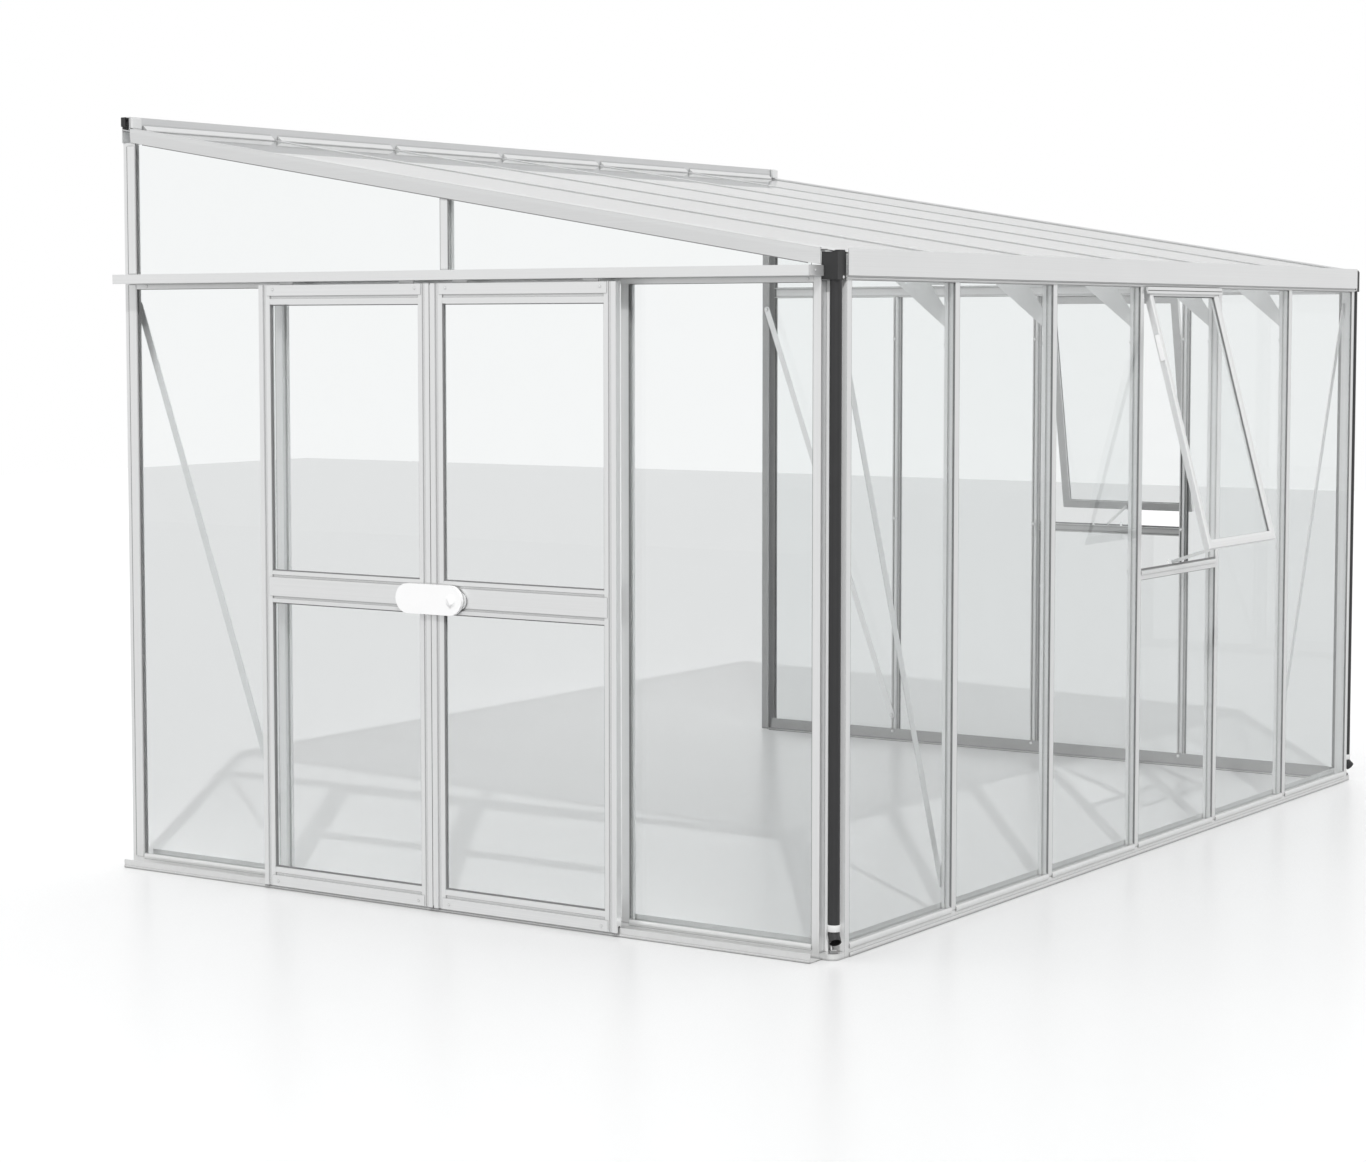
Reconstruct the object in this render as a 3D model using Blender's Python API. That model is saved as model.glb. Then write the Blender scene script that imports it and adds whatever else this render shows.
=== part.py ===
# Lean-to greenhouse in extruded aluminium, with two sliding doors in one gable.
# Metres, +Z up. The long front faces -Y, the open back stands against a wall at +Y,
# and the gable with the doors is at -X.
import math

import bmesh
import bpy
from mathutils import Vector

# Overall sizes
LENGTH = 4.38            # over the glazing planes of the two gables
WIDTH = 2.96             # from the front glazing plane to the wall
EAVE_HEIGHT = 2.093      # ground to the underside of the eave beam
ROOF_OVER_EAVE = 0.085   # from there to the roof's outer plane, above the front plane
ROOF_SLOPE = 0.1639      # rise for each metre towards the wall
FRONT_BAYS = 6
GABLE_BAYS = 4

# Running and seating clearances
SEAT = 0.0003            # between pieces that touch
RUN = 0.005              # around pieces that slide

# Extrusions
WALL = 0.003             # wall of every section
GLASS = 0.003
CAP_WIDTH = 0.030
BAR_DEPTH = 0.045
BAR_WEB = 0.004
BAR_SEAT_WIDTH = 0.022
BAR_HEAD_WIDTH = 0.018
BAR_HEAD_DEPTH = 0.012
BAR_LIP = 0.002
BOLT_SLOT = 0.007
POCKET = 0.010           # how deep an edge of glass goes into a pocket

# Corner posts
CORNER_REACH = 0.085     # corner to the edge of each flange
CORNER_RECESS = 0.0575   # corner to the side walls of the pipe recess
CORNER_FOOT = 0.020      # height of the rounded foot plate
CORNER_ROUND = 0.030

# Wall posts
WALL_POST_WIDTH = 0.056
WALL_FLANGE = 0.035
WALL_SEAT = 0.048        # how far the glass seat reaches from the wall

# Sill
SILL_HEIGHT = 0.034
SILL_NOSE = 0.022
UPSTAND = 0.055
FOOT_FLANGE = 0.024
THRESHOLD = 0.036

# Eave beam with its gutter
FASCIA_OUT = 0.010
FASCIA_RISE = 0.013      # fascia's foot above the beam's underside
FASCIA_HEIGHT = 0.082
GUTTER_RISE = 0.017      # gutter's bed above the beam's underside
EAVE_DEPTH = 0.050

# Wall bar
WALL_BAR_FRONT = 0.038   # from the wall to its front lip
WALL_BAR_TOP = 0.042     # above the roof's outer plane
WALL_BAR_DROP = 0.050    # below the roof's outer plane

# Roof glass
ROOF_GLASS_END = 0.012   # from the front plane to the glass's foot, over the gutter
ROOF_GLASS_TOP = 0.004   # between the glass's head and the wall bar's plate

# Verges
VERGE_OUT = 0.0065
VERGE_COVER = 0.040
VERGE_SEAT = 0.024
VERGE_DEPTH = 0.048
VERGE_LIP = 0.013        # upright part of the side plate
VERGE_LEAN = 0.003       # how far the plate's foot leans in under it

# Rainwater pipes
PIPE_WIDTH = 0.038
PIPE_WALL = 0.002
PIPE_FROM_GABLE = 0.0235   # gable's plane to the pipe's axis
PIPE_FROM_FRONT = 0.0195
PIPE_BEND = 0.080        # height at which the shoe turns out
PIPE_SHOE = 0.032        # length of the shoe
END_CAP = 0.0500         # cap's size along the front; along the gable it fills the recess
END_CAP_STEP = 0.010     # cap's top under the fascia's top
PLUG_START = 0.009       # gable's plane to the plug on the cap
PLUG_LENGTH = 0.036
PLUG_WIDTH = 0.016
PLUG_HEIGHT = 0.005

# Gable transoms
TRANSOM_DROP = 0.007     # transom's underside under the eave beam's
TRANSOM_HEIGHT = 0.046
TRANSOM_DEPTH = 0.030

# Sliding doors
LEAF_COVER = 0.0184      # how much wider a leaf is than a bay of the gable
LEAF_GAP = 0.005
LEAF_FOOT = 0.0135
LEAF_RISE = 0.001        # leaf's top above the eave beam's underside
LEAF_THICK = 0.025
LEAF_POCKET = 0.0105     # leaf's front face to its panes
LEAF_LIP = 0.002
LEAF_GROOVE = 0.005
LEAF_BAND = 0.036        # plain band of a rail, between its edge and the groove
LEAF_OUT = 0.080         # front face, out from the gable's plane
STILE = 0.050
RAIL = 0.068
MID_RAIL = 0.110
TRACK_OUT = 0.086
TRACK_GAP = 0.010        # over the leaves
TRACK_HEIGHT = 0.033
TRACK_END = 0.050
TRACK_WALL_END = 0.020
SHELF_RISE = 0.008
SHELF_LIP = 0.009
SHELF_REACH = 0.048
GUIDE_OUT = 0.0675
GUIDE_LIP = 0.029
HANGER = 0.060
HANGER_THICK = 0.0045
HANGER_OUT = 0.062
HANGER_REACH = 0.022
HANGER_ROOT = 0.020
HANGER_INSET = 0.110
LOCK_LENGTH = 0.277
LOCK_HEIGHT = 0.100
LOCK_THICK = 0.018
LOCK_CENTRE = 1.050
LOCK_FOOT_WIDTH = 0.017
LOCK_FOOT_HEIGHT = 0.060
MID_RAIL_DROP = 0.047    # middle rail's underside under the lock's centre

# Top-hung windows
WINDOW_BAY = 3           # bays before it, from the door gable
WINDOW_SIDE = 0.044      # from a bar's axis to the frame
WINDOW_LENGTH = 0.985
WINDOW_RIM = 0.034
WINDOW_THICK = 0.024
WINDOW_CHAMFER = 0.003
WINDOW_POCKET = 0.0096
WINDOW_LAP = 0.020       # how far the casement's head lies behind the glazing plane
FRONT_WINDOW_TILT = math.radians(15.0)
FAR_WINDOW_TILT = math.radians(11.5)
CILL_GAP = 0.088         # cill's underside under the closed casement's foot
CILL_HEIGHT = 0.034
STAY_WIDTH = 0.014
STAY_THICK = 0.004

# Braces and gussets
BRACE_WIDTH = 0.028
BRACE_FOOT = 0.105
BRACE_DROP = 0.050       # brace's top end under the eave beam
GUSSET_DROP = 0.157      # knee plate's foot under the eave beam
GUSSET_TIP = 0.010
GUSSET_REACH = 0.330
GUSSET_THICK = 0.003
GUSSET_OPEN_DROP = 0.081   # foot of the plate's three-cornered opening under the eave beam
GUSSET_OPEN_TOP = 0.008
GUSSET_OPEN_START = 0.005  # from the bar's head to the opening
GUSSET_OPEN_REACH = 0.050

# Values worked out from the sizes above
FRONT_PITCH = (LENGTH - 2 * CORNER_RECESS) / FRONT_BAYS
GABLE_PITCH = (WIDTH - CORNER_RECESS) / GABLE_BAYS
ROOF_HEIGHT = EAVE_HEIGHT + ROOF_OVER_EAVE
FASCIA_FOOT = EAVE_HEIGHT + FASCIA_RISE
FASCIA_TOP = FASCIA_FOOT + FASCIA_HEIGHT
GUTTER_BED = EAVE_HEIGHT + GUTTER_RISE
TRANSOM_FOOT = EAVE_HEIGHT - TRANSOM_DROP
LEAF_WIDTH = GABLE_PITCH + LEAF_COVER
LEAF_MEETING = CORNER_RECESS + GABLE_PITCH * GABLE_BAYS / 2
LEAF_TOP = EAVE_HEIGHT + LEAF_RISE
TRACK_FOOT = LEAF_TOP + TRACK_GAP
TRACK_TOP = TRACK_FOOT + TRACK_HEIGHT
SHELF = TRACK_FOOT + SHELF_RISE
MID_RAIL_FOOT = LOCK_CENTRE - MID_RAIL_DROP
CILL_FOOT = EAVE_HEIGHT - WINDOW_LENGTH - CILL_GAP
GLASS_OUTER = WALL + SEAT
GLASS_INNER = GLASS_OUTER + GLASS
SEAT_DEPTH = GLASS_INNER + SEAT
ROOF_ANGLE = math.atan(ROOF_SLOPE)
ROOF_UP = Vector((0, -math.sin(ROOF_ANGLE), math.cos(ROOF_ANGLE)))
ROOF_ALONG = Vector((0, math.cos(ROOF_ANGLE), math.sin(ROOF_ANGLE)))
WALL_BAR_FACE = WIDTH - WALL_BAR_FRONT
TRANSOM_TOP = TRANSOM_FOOT + TRANSOM_HEIGHT
CILL_TOP = CILL_FOOT + CILL_HEIGHT
LEAF_REAR = LEAF_POCKET + GLASS + 2 * SEAT
WEB_CLEAR = (BAR_WEB + BAR_LIP) / 2
STRIP = POCKET * 0.7     # depth of the strip that joins panes, inside a pocket

X = Vector((1, 0, 0))
Y = Vector((0, 1, 0))
Z = Vector((0, 0, 1))

ALUMINIUM = ("mill_aluminium", (0.78, 0.79, 0.79), 0.38, 0.85)
CLEAR = ("clear_glass", (0.80, 0.86, 0.85), 0.05, 0.0)
BLACK = ("black_plastic", (0.035, 0.035, 0.037), 0.45, 0.0)
WHITE = ("white_plastic", (0.88, 0.88, 0.88), 0.35, 0.0)


# Building tools

def clear_scene():
    for obj in list(bpy.data.objects):
        bpy.data.objects.remove(obj, do_unlink=True)


def finish_material(name, finish):
    """One Principled material for one piece."""
    kind, colour, roughness, metallic = finish
    material = bpy.data.materials.new(f"{kind}_{name}")
    material.use_nodes = True
    shader = material.node_tree.nodes["Principled BSDF"]
    shader.inputs["Base Color"].default_value = (*colour, 1.0)
    shader.inputs["Roughness"].default_value = roughness
    shader.inputs["Metallic"].default_value = metallic
    return material


def mesh_object(name, verts, faces, finish, origin=Vector((0, 0, 0))):
    mesh = bpy.data.meshes.new(name)
    mesh.from_pydata([tuple(v) for v in verts], [], faces)
    body = bmesh.new()
    body.from_mesh(mesh)
    bmesh.ops.recalc_face_normals(body, faces=body.faces)
    body.to_mesh(mesh)
    body.free()
    mesh.materials.append(finish_material(name, finish))
    obj = bpy.data.objects.new(name, mesh)
    obj.location = origin
    bpy.context.scene.collection.objects.link(obj)
    return obj


def reach(end, point, along):
    """How far along a prism a corner runs: a length, or up to a plane (point, normal)."""
    if isinstance(end, (int, float)):
        return end
    on_plane, normal = end
    return (on_plane - point).dot(normal) / along.dot(normal)


def prism(name, outline, origin, across, inward, along, start, end, finish):
    """Extrude an outline of (across, inward) points between two ends."""
    count = len(outline)
    verts = []
    for limit in (start, end):
        for u, v in outline:
            point = origin + across * u + inward * v
            verts.append(point + along * reach(limit, point, along) - origin)
    faces = [tuple(range(count)), tuple(range(2 * count - 1, count - 1, -1))]
    for i in range(count):
        j = (i + 1) % count
        faces.append((i, i + count, j + count, j))
    return mesh_object(name, verts, faces, finish, origin)


def ring(name, outline, width, height, origin, across, inward, along, finish):
    """Sweep an outline of (rim, inward) points round a rectangle with mitred corners."""
    verts = []
    for rim, depth in outline:
        for u, w in ((rim, rim), (width - rim, rim), (width - rim, height - rim), (rim, height - rim)):
            verts.append(across * u + inward * depth + along * w)
    count = len(outline)
    faces = []
    for i in range(count):
        j = (i + 1) % count
        for side in range(4):
            nxt = (side + 1) % 4
            faces.append((4 * i + side, 4 * i + nxt, 4 * j + nxt, 4 * j + side))
    return mesh_object(name, verts, faces, finish, origin)


def tube(name, path, radius, wall, origin, finish):
    """A round pipe along a path, open at its last point and closed at its first."""
    sides = 16
    steps = [(path[i + 1] - path[i]).normalized() for i in range(len(path) - 1)]
    verts = []
    for r, stop in ((radius, 0.0), (radius - wall, wall)):
        for i, point in enumerate(path):
            before, after = steps[max(i - 1, 0)], steps[min(i, len(steps) - 1)]
            normal = (before + after).normalized()
            side = normal.cross(before.cross(after)) if before.cross(after).length > SEAT else None
            flat = steps[-1].cross(Z).normalized()
            level = side.normalized() if side else normal.cross(flat).normalized()
            stretch = 1 / normal.dot(before)
            centre = point + (steps[0] * stop if i == 0 else Vector((0, 0, 0)))
            for k in range(sides):
                angle = 2 * math.pi * k / sides
                verts.append(centre + flat * (r * math.cos(angle)) + level * (r * stretch * math.sin(angle)))
    rings = len(path)
    faces = [tuple(range(sides)), tuple(range(rings * sides, (rings + 1) * sides))]
    for first in (0, rings):
        for i in range(rings - 1):
            a, b = (first + i) * sides, (first + i + 1) * sides
            faces += [(a + k, a + (k + 1) % sides, b + (k + 1) % sides, b + k) for k in range(sides)]
    a, b = (rings - 1) * sides, (2 * rings - 1) * sides
    faces += [(a + k, a + (k + 1) % sides, b + (k + 1) % sides, b + k) for k in range(sides)]
    return smooth(mesh_object(name, verts, faces, finish, origin))


def smooth(obj):
    """Smooth shading with sharp edges where the faces turn."""
    obj.data.shade_smooth()
    obj.data.set_sharp_from_angle(angle=math.radians(35.0))
    return obj


def box_outline(u0, u1, v0, v1):
    return [(u0, v0), (u1, v0), (u1, v1), (u0, v1)]


def arc(centre, radius, start, end, steps):
    """Points on an arc, angles in degrees."""
    points = []
    for i in range(steps + 1):
        angle = math.radians(start + (end - start) * i / steps)
        points.append((centre[0] + radius * math.cos(angle), centre[1] + radius * math.sin(angle)))
    return points


def tool(obj):
    """Hide a piece that only cuts or joins another."""
    obj.hide_render = True
    obj.display_type = "WIRE"
    return obj


def combine(obj, other, operation):
    modifier = obj.modifiers.new(f"{operation.lower()}_{other.name}", "BOOLEAN")
    modifier.operation = operation
    modifier.solver = "EXACT"
    modifier.object = tool(other)
    return obj


# Places

def roof_plane(depth):
    """The plane that lies this deep under the roof's outer plane."""
    return (Vector((0, 0, ROOF_HEIGHT)) - ROOF_UP * depth, ROOF_UP)


def roof_z(y, depth=0.0):
    return ROOF_HEIGHT + ROOF_SLOPE * y - depth / math.cos(ROOF_ANGLE)


def gable(which):
    """Plane and inward direction of a gable."""
    if which == "near":
        return 0.0, X
    return LENGTH, -X


def front_bar_x(index):
    return CORNER_RECESS + FRONT_PITCH * index


def gable_bar_y(index):
    return CORNER_RECESS + GABLE_PITCH * index


# Sections

def glazing_bar_section():
    """Cap outside, web, glass seat, and a head with a bolt slot inside."""
    cap, web, seat = CAP_WIDTH / 2, BAR_WEB / 2, BAR_SEAT_WIDTH / 2
    head, slot, lip = BAR_HEAD_WIDTH / 2, BOLT_SLOT / 2, BAR_LIP
    seat_under = SEAT_DEPTH + BAR_LIP
    head_top = BAR_DEPTH - BAR_HEAD_DEPTH
    half = [
        (cap, 0.0), (cap, WALL), (web, WALL), (web, SEAT_DEPTH), (seat, SEAT_DEPTH), (seat, seat_under),
        (web, seat_under), (web, head_top), (head, head_top), (head, BAR_DEPTH), (slot, BAR_DEPTH),
        (slot, BAR_DEPTH - lip), (head - lip, BAR_DEPTH - lip), (head - lip, head_top + lip),
    ]
    return half + [(-u, v) for u, v in reversed(half)]


def sill_section():
    """Nose, glass pocket, table, upstand and foot flange; (inward, up)."""
    step = BAR_DEPTH + SEAT
    back = step + WALL
    pocket_floor = SILL_HEIGHT - POCKET - WALL
    return [
        (0.0, 0.0), (0.0, SILL_NOSE), (WALL, SILL_HEIGHT), (WALL, pocket_floor), (SEAT_DEPTH, pocket_floor),
        (SEAT_DEPTH, SILL_HEIGHT), (step, SILL_HEIGHT), (step, UPSTAND), (back, UPSTAND), (back, WALL),
        (back + FOOT_FLANGE, WALL), (back + FOOT_FLANGE, 0.0), (step, 0.0), (step, SILL_HEIGHT - WALL),
        (SEAT_DEPTH + WALL, SILL_HEIGHT - WALL), (SEAT_DEPTH + WALL, pocket_floor - WALL),
        (WALL, pocket_floor - WALL), (WALL, 0.0),
    ]


def transom_section(height, depth):
    """Channel open to the inside, with a glass pocket above and below; (inward, up)."""
    back = SEAT_DEPTH + WALL
    return [
        (0, 0), (0, height), (WALL, height), (WALL, height - POCKET), (SEAT_DEPTH, height - POCKET),
        (SEAT_DEPTH, height), (depth, height), (depth, height - WALL), (back, height - WALL), (back, WALL),
        (depth, WALL), (depth, 0), (SEAT_DEPTH, 0), (SEAT_DEPTH, POCKET), (WALL, POCKET), (WALL, 0),
    ]


def eave_section():
    """Glass pocket below, box gutter above with its fascia; (y, z)."""
    out, back = -FASCIA_OUT, EAVE_DEPTH
    pocket_top = EAVE_HEIGHT + POCKET
    back_top = roof_z(back - WALL, SEAT_DEPTH)
    return [
        (0, EAVE_HEIGHT), (WALL, EAVE_HEIGHT), (WALL, pocket_top), (SEAT_DEPTH, pocket_top),
        (SEAT_DEPTH, EAVE_HEIGHT), (back, EAVE_HEIGHT), (back, back_top), (back - WALL, back_top),
        (back - WALL, GUTTER_BED), (out + WALL, GUTTER_BED), (out + WALL, FASCIA_TOP), (out, FASCIA_TOP),
        (out, FASCIA_FOOT), (0, FASCIA_FOOT),
    ]


def wall_bar_section():
    """Plate on the wall, lip over the roof glass and the seat under it; (y, z)."""
    face, lip, wall = WALL_BAR_FACE, WALL_BAR_FACE + WALL, WIDTH - WALL
    top, foot = roof_z(face) + WALL_BAR_TOP, roof_z(face) - WALL_BAR_DROP

    def over(y):
        return roof_z(y, WALL) + SEAT

    def under(y):
        return roof_z(y, SEAT_DEPTH)

    return [
        (WIDTH, foot), (WIDTH, top), (face, top), (face, over(face)), (lip, over(lip)), (lip, top - WALL),
        (wall, top - WALL), (wall, under(wall)), (face, under(face)), (face, under(face) - WALL),
        (wall, under(wall) - WALL), (wall, foot),
    ]


def verge_section():
    """Side plate and top plate with the glass edge between the top plate and a seat; (inward, down)."""
    out, inner = -VERGE_OUT, -VERGE_OUT + WALL
    reach_in = VERGE_SEAT
    return [
        (out, 0), (VERGE_COVER, 0), (VERGE_COVER, WALL), (inner, WALL), (inner, SEAT_DEPTH),
        (reach_in, SEAT_DEPTH), (reach_in, SEAT_DEPTH + WALL), (inner, SEAT_DEPTH + WALL),
        (inner, VERGE_LIP), (inner + VERGE_LEAN, VERGE_DEPTH), (out + VERGE_LEAN, VERGE_DEPTH),
        (out, VERGE_LIP),
    ]


def corner_section():
    """A flange along each wall and a square recess between them for the pipe."""
    r, c, w, d = CORNER_REACH, CORNER_RECESS, WALL, BAR_DEPTH
    outer = [(0, r), (0, c), (d - w, c), (d - w, d - w), (c, d - w), (c, 0), (r, 0)]
    inner = [(r, w), (c + w, w), (c + w, d), (d, d), (d, c + w), (w, c + w), (w, r)]
    return outer + inner


def corner_foot_outline():
    """A plate that closes the recess at the ground, round at the outer corner."""
    side, deep, r = CORNER_RECESS + WALL / 2, BAR_DEPTH - WALL / 2, CORNER_ROUND
    inner = [(side, SEAT), (side, deep), (deep, deep), (deep, side), (SEAT, side)]
    return inner + arc((r, r), r - SEAT, 180, 270, 6)


def wall_post_section():
    """Cap, wall leg, glass seat and inner flange; (inward, along y from the wall)."""
    w, back = WALL, SEAT_DEPTH + WALL
    return [
        (0, -WALL_POST_WIDTH), (0, 0), (BAR_DEPTH, 0), (BAR_DEPTH, -WALL_FLANGE),
        (BAR_DEPTH - w, -WALL_FLANGE), (BAR_DEPTH - w, -w), (back, -w), (back, -WALL_SEAT),
        (SEAT_DEPTH, -WALL_SEAT), (SEAT_DEPTH, -w), (w, -w), (w, -WALL_POST_WIDTH),
    ]


# Frame on the ground

def build_sills():
    start, end = CORNER_REACH + SEAT, LENGTH - CORNER_REACH - SEAT
    prism("sill_front", sill_section(), Vector((0, 0, 0)), Y, Z, X, start, end, ALUMINIUM)
    start, end = CORNER_REACH + SEAT, WIDTH - WALL_POST_WIDTH - SEAT
    for which in ("near", "far"):
        plane, inward = gable(which)
        origin = Vector((plane, 0, 0))
        sill = prism(f"sill_{which}", sill_section(), origin, inward, Z, Y, start, end, ALUMINIUM)
        if which == "near":
            build_threshold(sill)


def build_threshold(sill):
    """Take the upstand away between the jambs, to leave a low threshold in the doorway."""
    low, high = gable_bar_y(1) + CAP_WIDTH / 2, gable_bar_y(GABLE_BAYS - 1) - CAP_WIDTH / 2
    outline = box_outline(BAR_DEPTH - WALL, BAR_DEPTH + 3 * WALL, THRESHOLD, UPSTAND + WALL)
    gap = prism("doorway_gap", outline, Vector((0, 0, 0)), X, Z, Y, low, high, ALUMINIUM)
    combine(sill, gap, "DIFFERENCE")


def build_corner_posts():
    top = EAVE_HEIGHT - SEAT
    for which in ("near", "far"):
        plane, inward = gable(which)
        origin = Vector((plane, 0, 0))
        post = prism(f"corner_post_{which}", corner_section(), origin, inward, Y, Z, 0.0, top, ALUMINIUM)
        foot = prism(f"corner_foot_{which}", corner_foot_outline(), origin, inward, Y, Z,
                     0.0, CORNER_FOOT, ALUMINIUM)
        combine(post, foot, "UNION")


def build_wall_posts():
    top = roof_z(WALL_BAR_FACE) - WALL_BAR_DROP - SEAT
    for which in ("near", "far"):
        plane, inward = gable(which)
        origin = Vector((plane, WIDTH, 0))
        prism(f"wall_post_{which}", wall_post_section(), origin, inward, Y, Z, 0.0, top, ALUMINIUM)


# Walls

def build_front_bars():
    for index in range(1, FRONT_BAYS):
        origin = Vector((front_bar_x(index), 0, 0))
        bar = prism(f"front_bar_{index}", glazing_bar_section(), origin, X, Y, Z,
                    SILL_HEIGHT + SEAT, EAVE_HEIGHT - SEAT, ALUMINIUM)
        build_gusset(bar, index)


def build_gable_bars():
    """The door gable's middle bar stops at the transom, above the doorway."""
    for which in ("near", "far"):
        plane, inward = gable(which)
        for index in range(1, GABLE_BAYS):
            if which == "near" and index == GABLE_BAYS // 2:
                continue
            name = f"{which}_bar_{index}"
            origin = Vector((plane, gable_bar_y(index), 0))
            prism(name, glazing_bar_section(), origin, Y, inward, Z,
                  SILL_HEIGHT + SEAT, TRANSOM_FOOT - SEAT, ALUMINIUM)
        origin = Vector((plane, gable_bar_y(GABLE_BAYS // 2), 0))
        prism(f"{which}_upper_bar", glazing_bar_section(), origin, Y, inward, Z,
              TRANSOM_TOP + SEAT, roof_plane(SEAT_DEPTH + WALL + SEAT), ALUMINIUM)


def build_transoms():
    start, end = CORNER_REACH + SEAT, WIDTH - WALL_POST_WIDTH - SEAT
    for which in ("near", "far"):
        plane, inward = gable(which)
        prism(f"{which}_transom", transom_section(TRANSOM_HEIGHT, TRANSOM_DEPTH),
              Vector((plane, 0, TRANSOM_FOOT)), inward, Z, Y, start, end, ALUMINIUM)


# Roof

def build_eave_beam():
    inset = END_CAP + SEAT
    prism("eave_beam", eave_section(), Vector((0, 0, 0)), Y, Z, X, inset, LENGTH - inset, ALUMINIUM)


def build_wall_bar():
    start, end = -VERGE_OUT, LENGTH + VERGE_OUT
    prism("wall_bar", wall_bar_section(), Vector((0, 0, 0)), Y, Z, X, start, end, ALUMINIUM)


def roof_end(y):
    """A plumb cut across the roof, to end a piece that runs up it."""
    return (Vector((0, y, 0)), Y)


def build_roof_bars():
    start, end = roof_end(EAVE_DEPTH + SEAT), roof_end(WALL_BAR_FACE - SEAT)
    for index in range(1, FRONT_BAYS):
        origin = Vector((front_bar_x(index), 0, ROOF_HEIGHT))
        bar = prism(f"roof_bar_{index}", glazing_bar_section(), origin, X, -ROOF_UP, ROOF_ALONG,
                    start, end, ALUMINIUM)
        half = CAP_WIDTH / 2
        cap = prism(f"roof_cap_{index}", box_outline(-half, half, 0, WALL), origin, X, -ROOF_UP, ROOF_ALONG,
                    roof_end(ROOF_GLASS_END), roof_end(EAVE_DEPTH + CAP_WIDTH), ALUMINIUM)
        combine(bar, cap, "UNION")


def build_verges():
    start, end = roof_end(CORNER_RECESS + SEAT), roof_end(WALL_BAR_FACE - SEAT)
    for which in ("near", "far"):
        plane, inward = gable(which)
        origin = Vector((plane, 0, ROOF_HEIGHT))
        prism(f"verge_{which}", verge_section(), origin, inward, -ROOF_UP, ROOF_ALONG,
              start, end, ALUMINIUM)


def build_downpipes():
    """A cap on the gutter's end, over a pipe in the corner post's recess with a shoe at its foot."""
    cap_top = FASCIA_TOP - END_CAP_STEP
    footprint = box_outline(0, END_CAP, 0, CORNER_RECESS)
    plug_area = box_outline(PLUG_START, PLUG_START + PLUG_LENGTH, 0, PLUG_WIDTH)
    for which in ("near", "far"):
        plane, inward = gable(which)
        origin = Vector((plane, 0, 0))
        out = (-inward - Y).normalized()
        axis = inward * PIPE_FROM_GABLE + Y * PIPE_FROM_FRONT
        top = axis + Z * (EAVE_HEIGHT + PIPE_WIDTH)
        bend = axis + Z * PIPE_BEND
        mouth = bend + (out - Z).normalized() * PIPE_SHOE
        pipe = tube(f"downpipe_{which}", (top, bend, mouth), PIPE_WIDTH / 2, PIPE_WALL, origin, BLACK)
        cap = prism(f"end_cap_{which}", footprint, origin, inward, Y, Z, EAVE_HEIGHT, cap_top, BLACK)
        plug = prism(f"cap_plug_{which}", plug_area, origin, inward, Y, Z,
                     cap_top - PLUG_HEIGHT, cap_top + PLUG_HEIGHT, BLACK)
        combine(pipe, cap, "UNION")
        combine(pipe, plug, "UNION")


# Doors

def leaf_stile_section():
    """Rib, groove, lip and glass pocket; (from the outer edge, back from the front)."""
    rib, groove, edge, g = STILE * 0.36, STILE * 0.6, STILE - LEAF_LIP, LEAF_GROOVE
    floor = edge - POCKET
    return [
        (0, 0), (rib, 0), (rib + LEAF_LIP, g), (groove, g), (groove + LEAF_LIP / 2, LEAF_LIP), (edge, WALL),
        (edge, LEAF_POCKET), (floor, LEAF_POCKET), (floor, LEAF_REAR), (edge, LEAF_REAR),
        (edge, LEAF_THICK), (0, LEAF_THICK),
    ]


def leaf_rail_section():
    """Band, groove, lip and glass pocket; (from the outer edge, back from the front)."""
    edge = RAIL - LEAF_LIP
    floor = edge - POCKET
    front, rear, g = LEAF_LIP / 2, LEAF_THICK - LEAF_LIP / 2, LEAF_GROOVE + LEAF_LIP / 2
    band, groove = LEAF_BAND, LEAF_BAND + POCKET
    return [
        (0, front), (band, front), (band + front, g), (groove, g), (groove + front, WALL),
        (edge, WALL + front / 2), (edge, LEAF_POCKET), (floor, LEAF_POCKET), (floor, LEAF_REAR),
        (edge, LEAF_REAR), (edge, rear), (0, rear),
    ]


def leaf_mid_section():
    """Band between two grooves and lips, with a glass pocket on both edges."""
    front, rear, g = LEAF_LIP / 2, LEAF_THICK - LEAF_LIP / 2, LEAF_GROOVE + LEAF_LIP / 2
    lip, groove = MID_RAIL * 0.12, MID_RAIL * 0.2
    half = [
        (0, LEAF_REAR), (POCKET, LEAF_REAR), (POCKET, LEAF_POCKET), (0, LEAF_POCKET), (0, WALL + front / 2),
        (lip, WALL), (lip + front, g), (groove, g), (groove + front, front),
    ]
    return half + [(MID_RAIL - u, v) for u, v in reversed(half)] + [(MID_RAIL, rear), (0, rear)]


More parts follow.
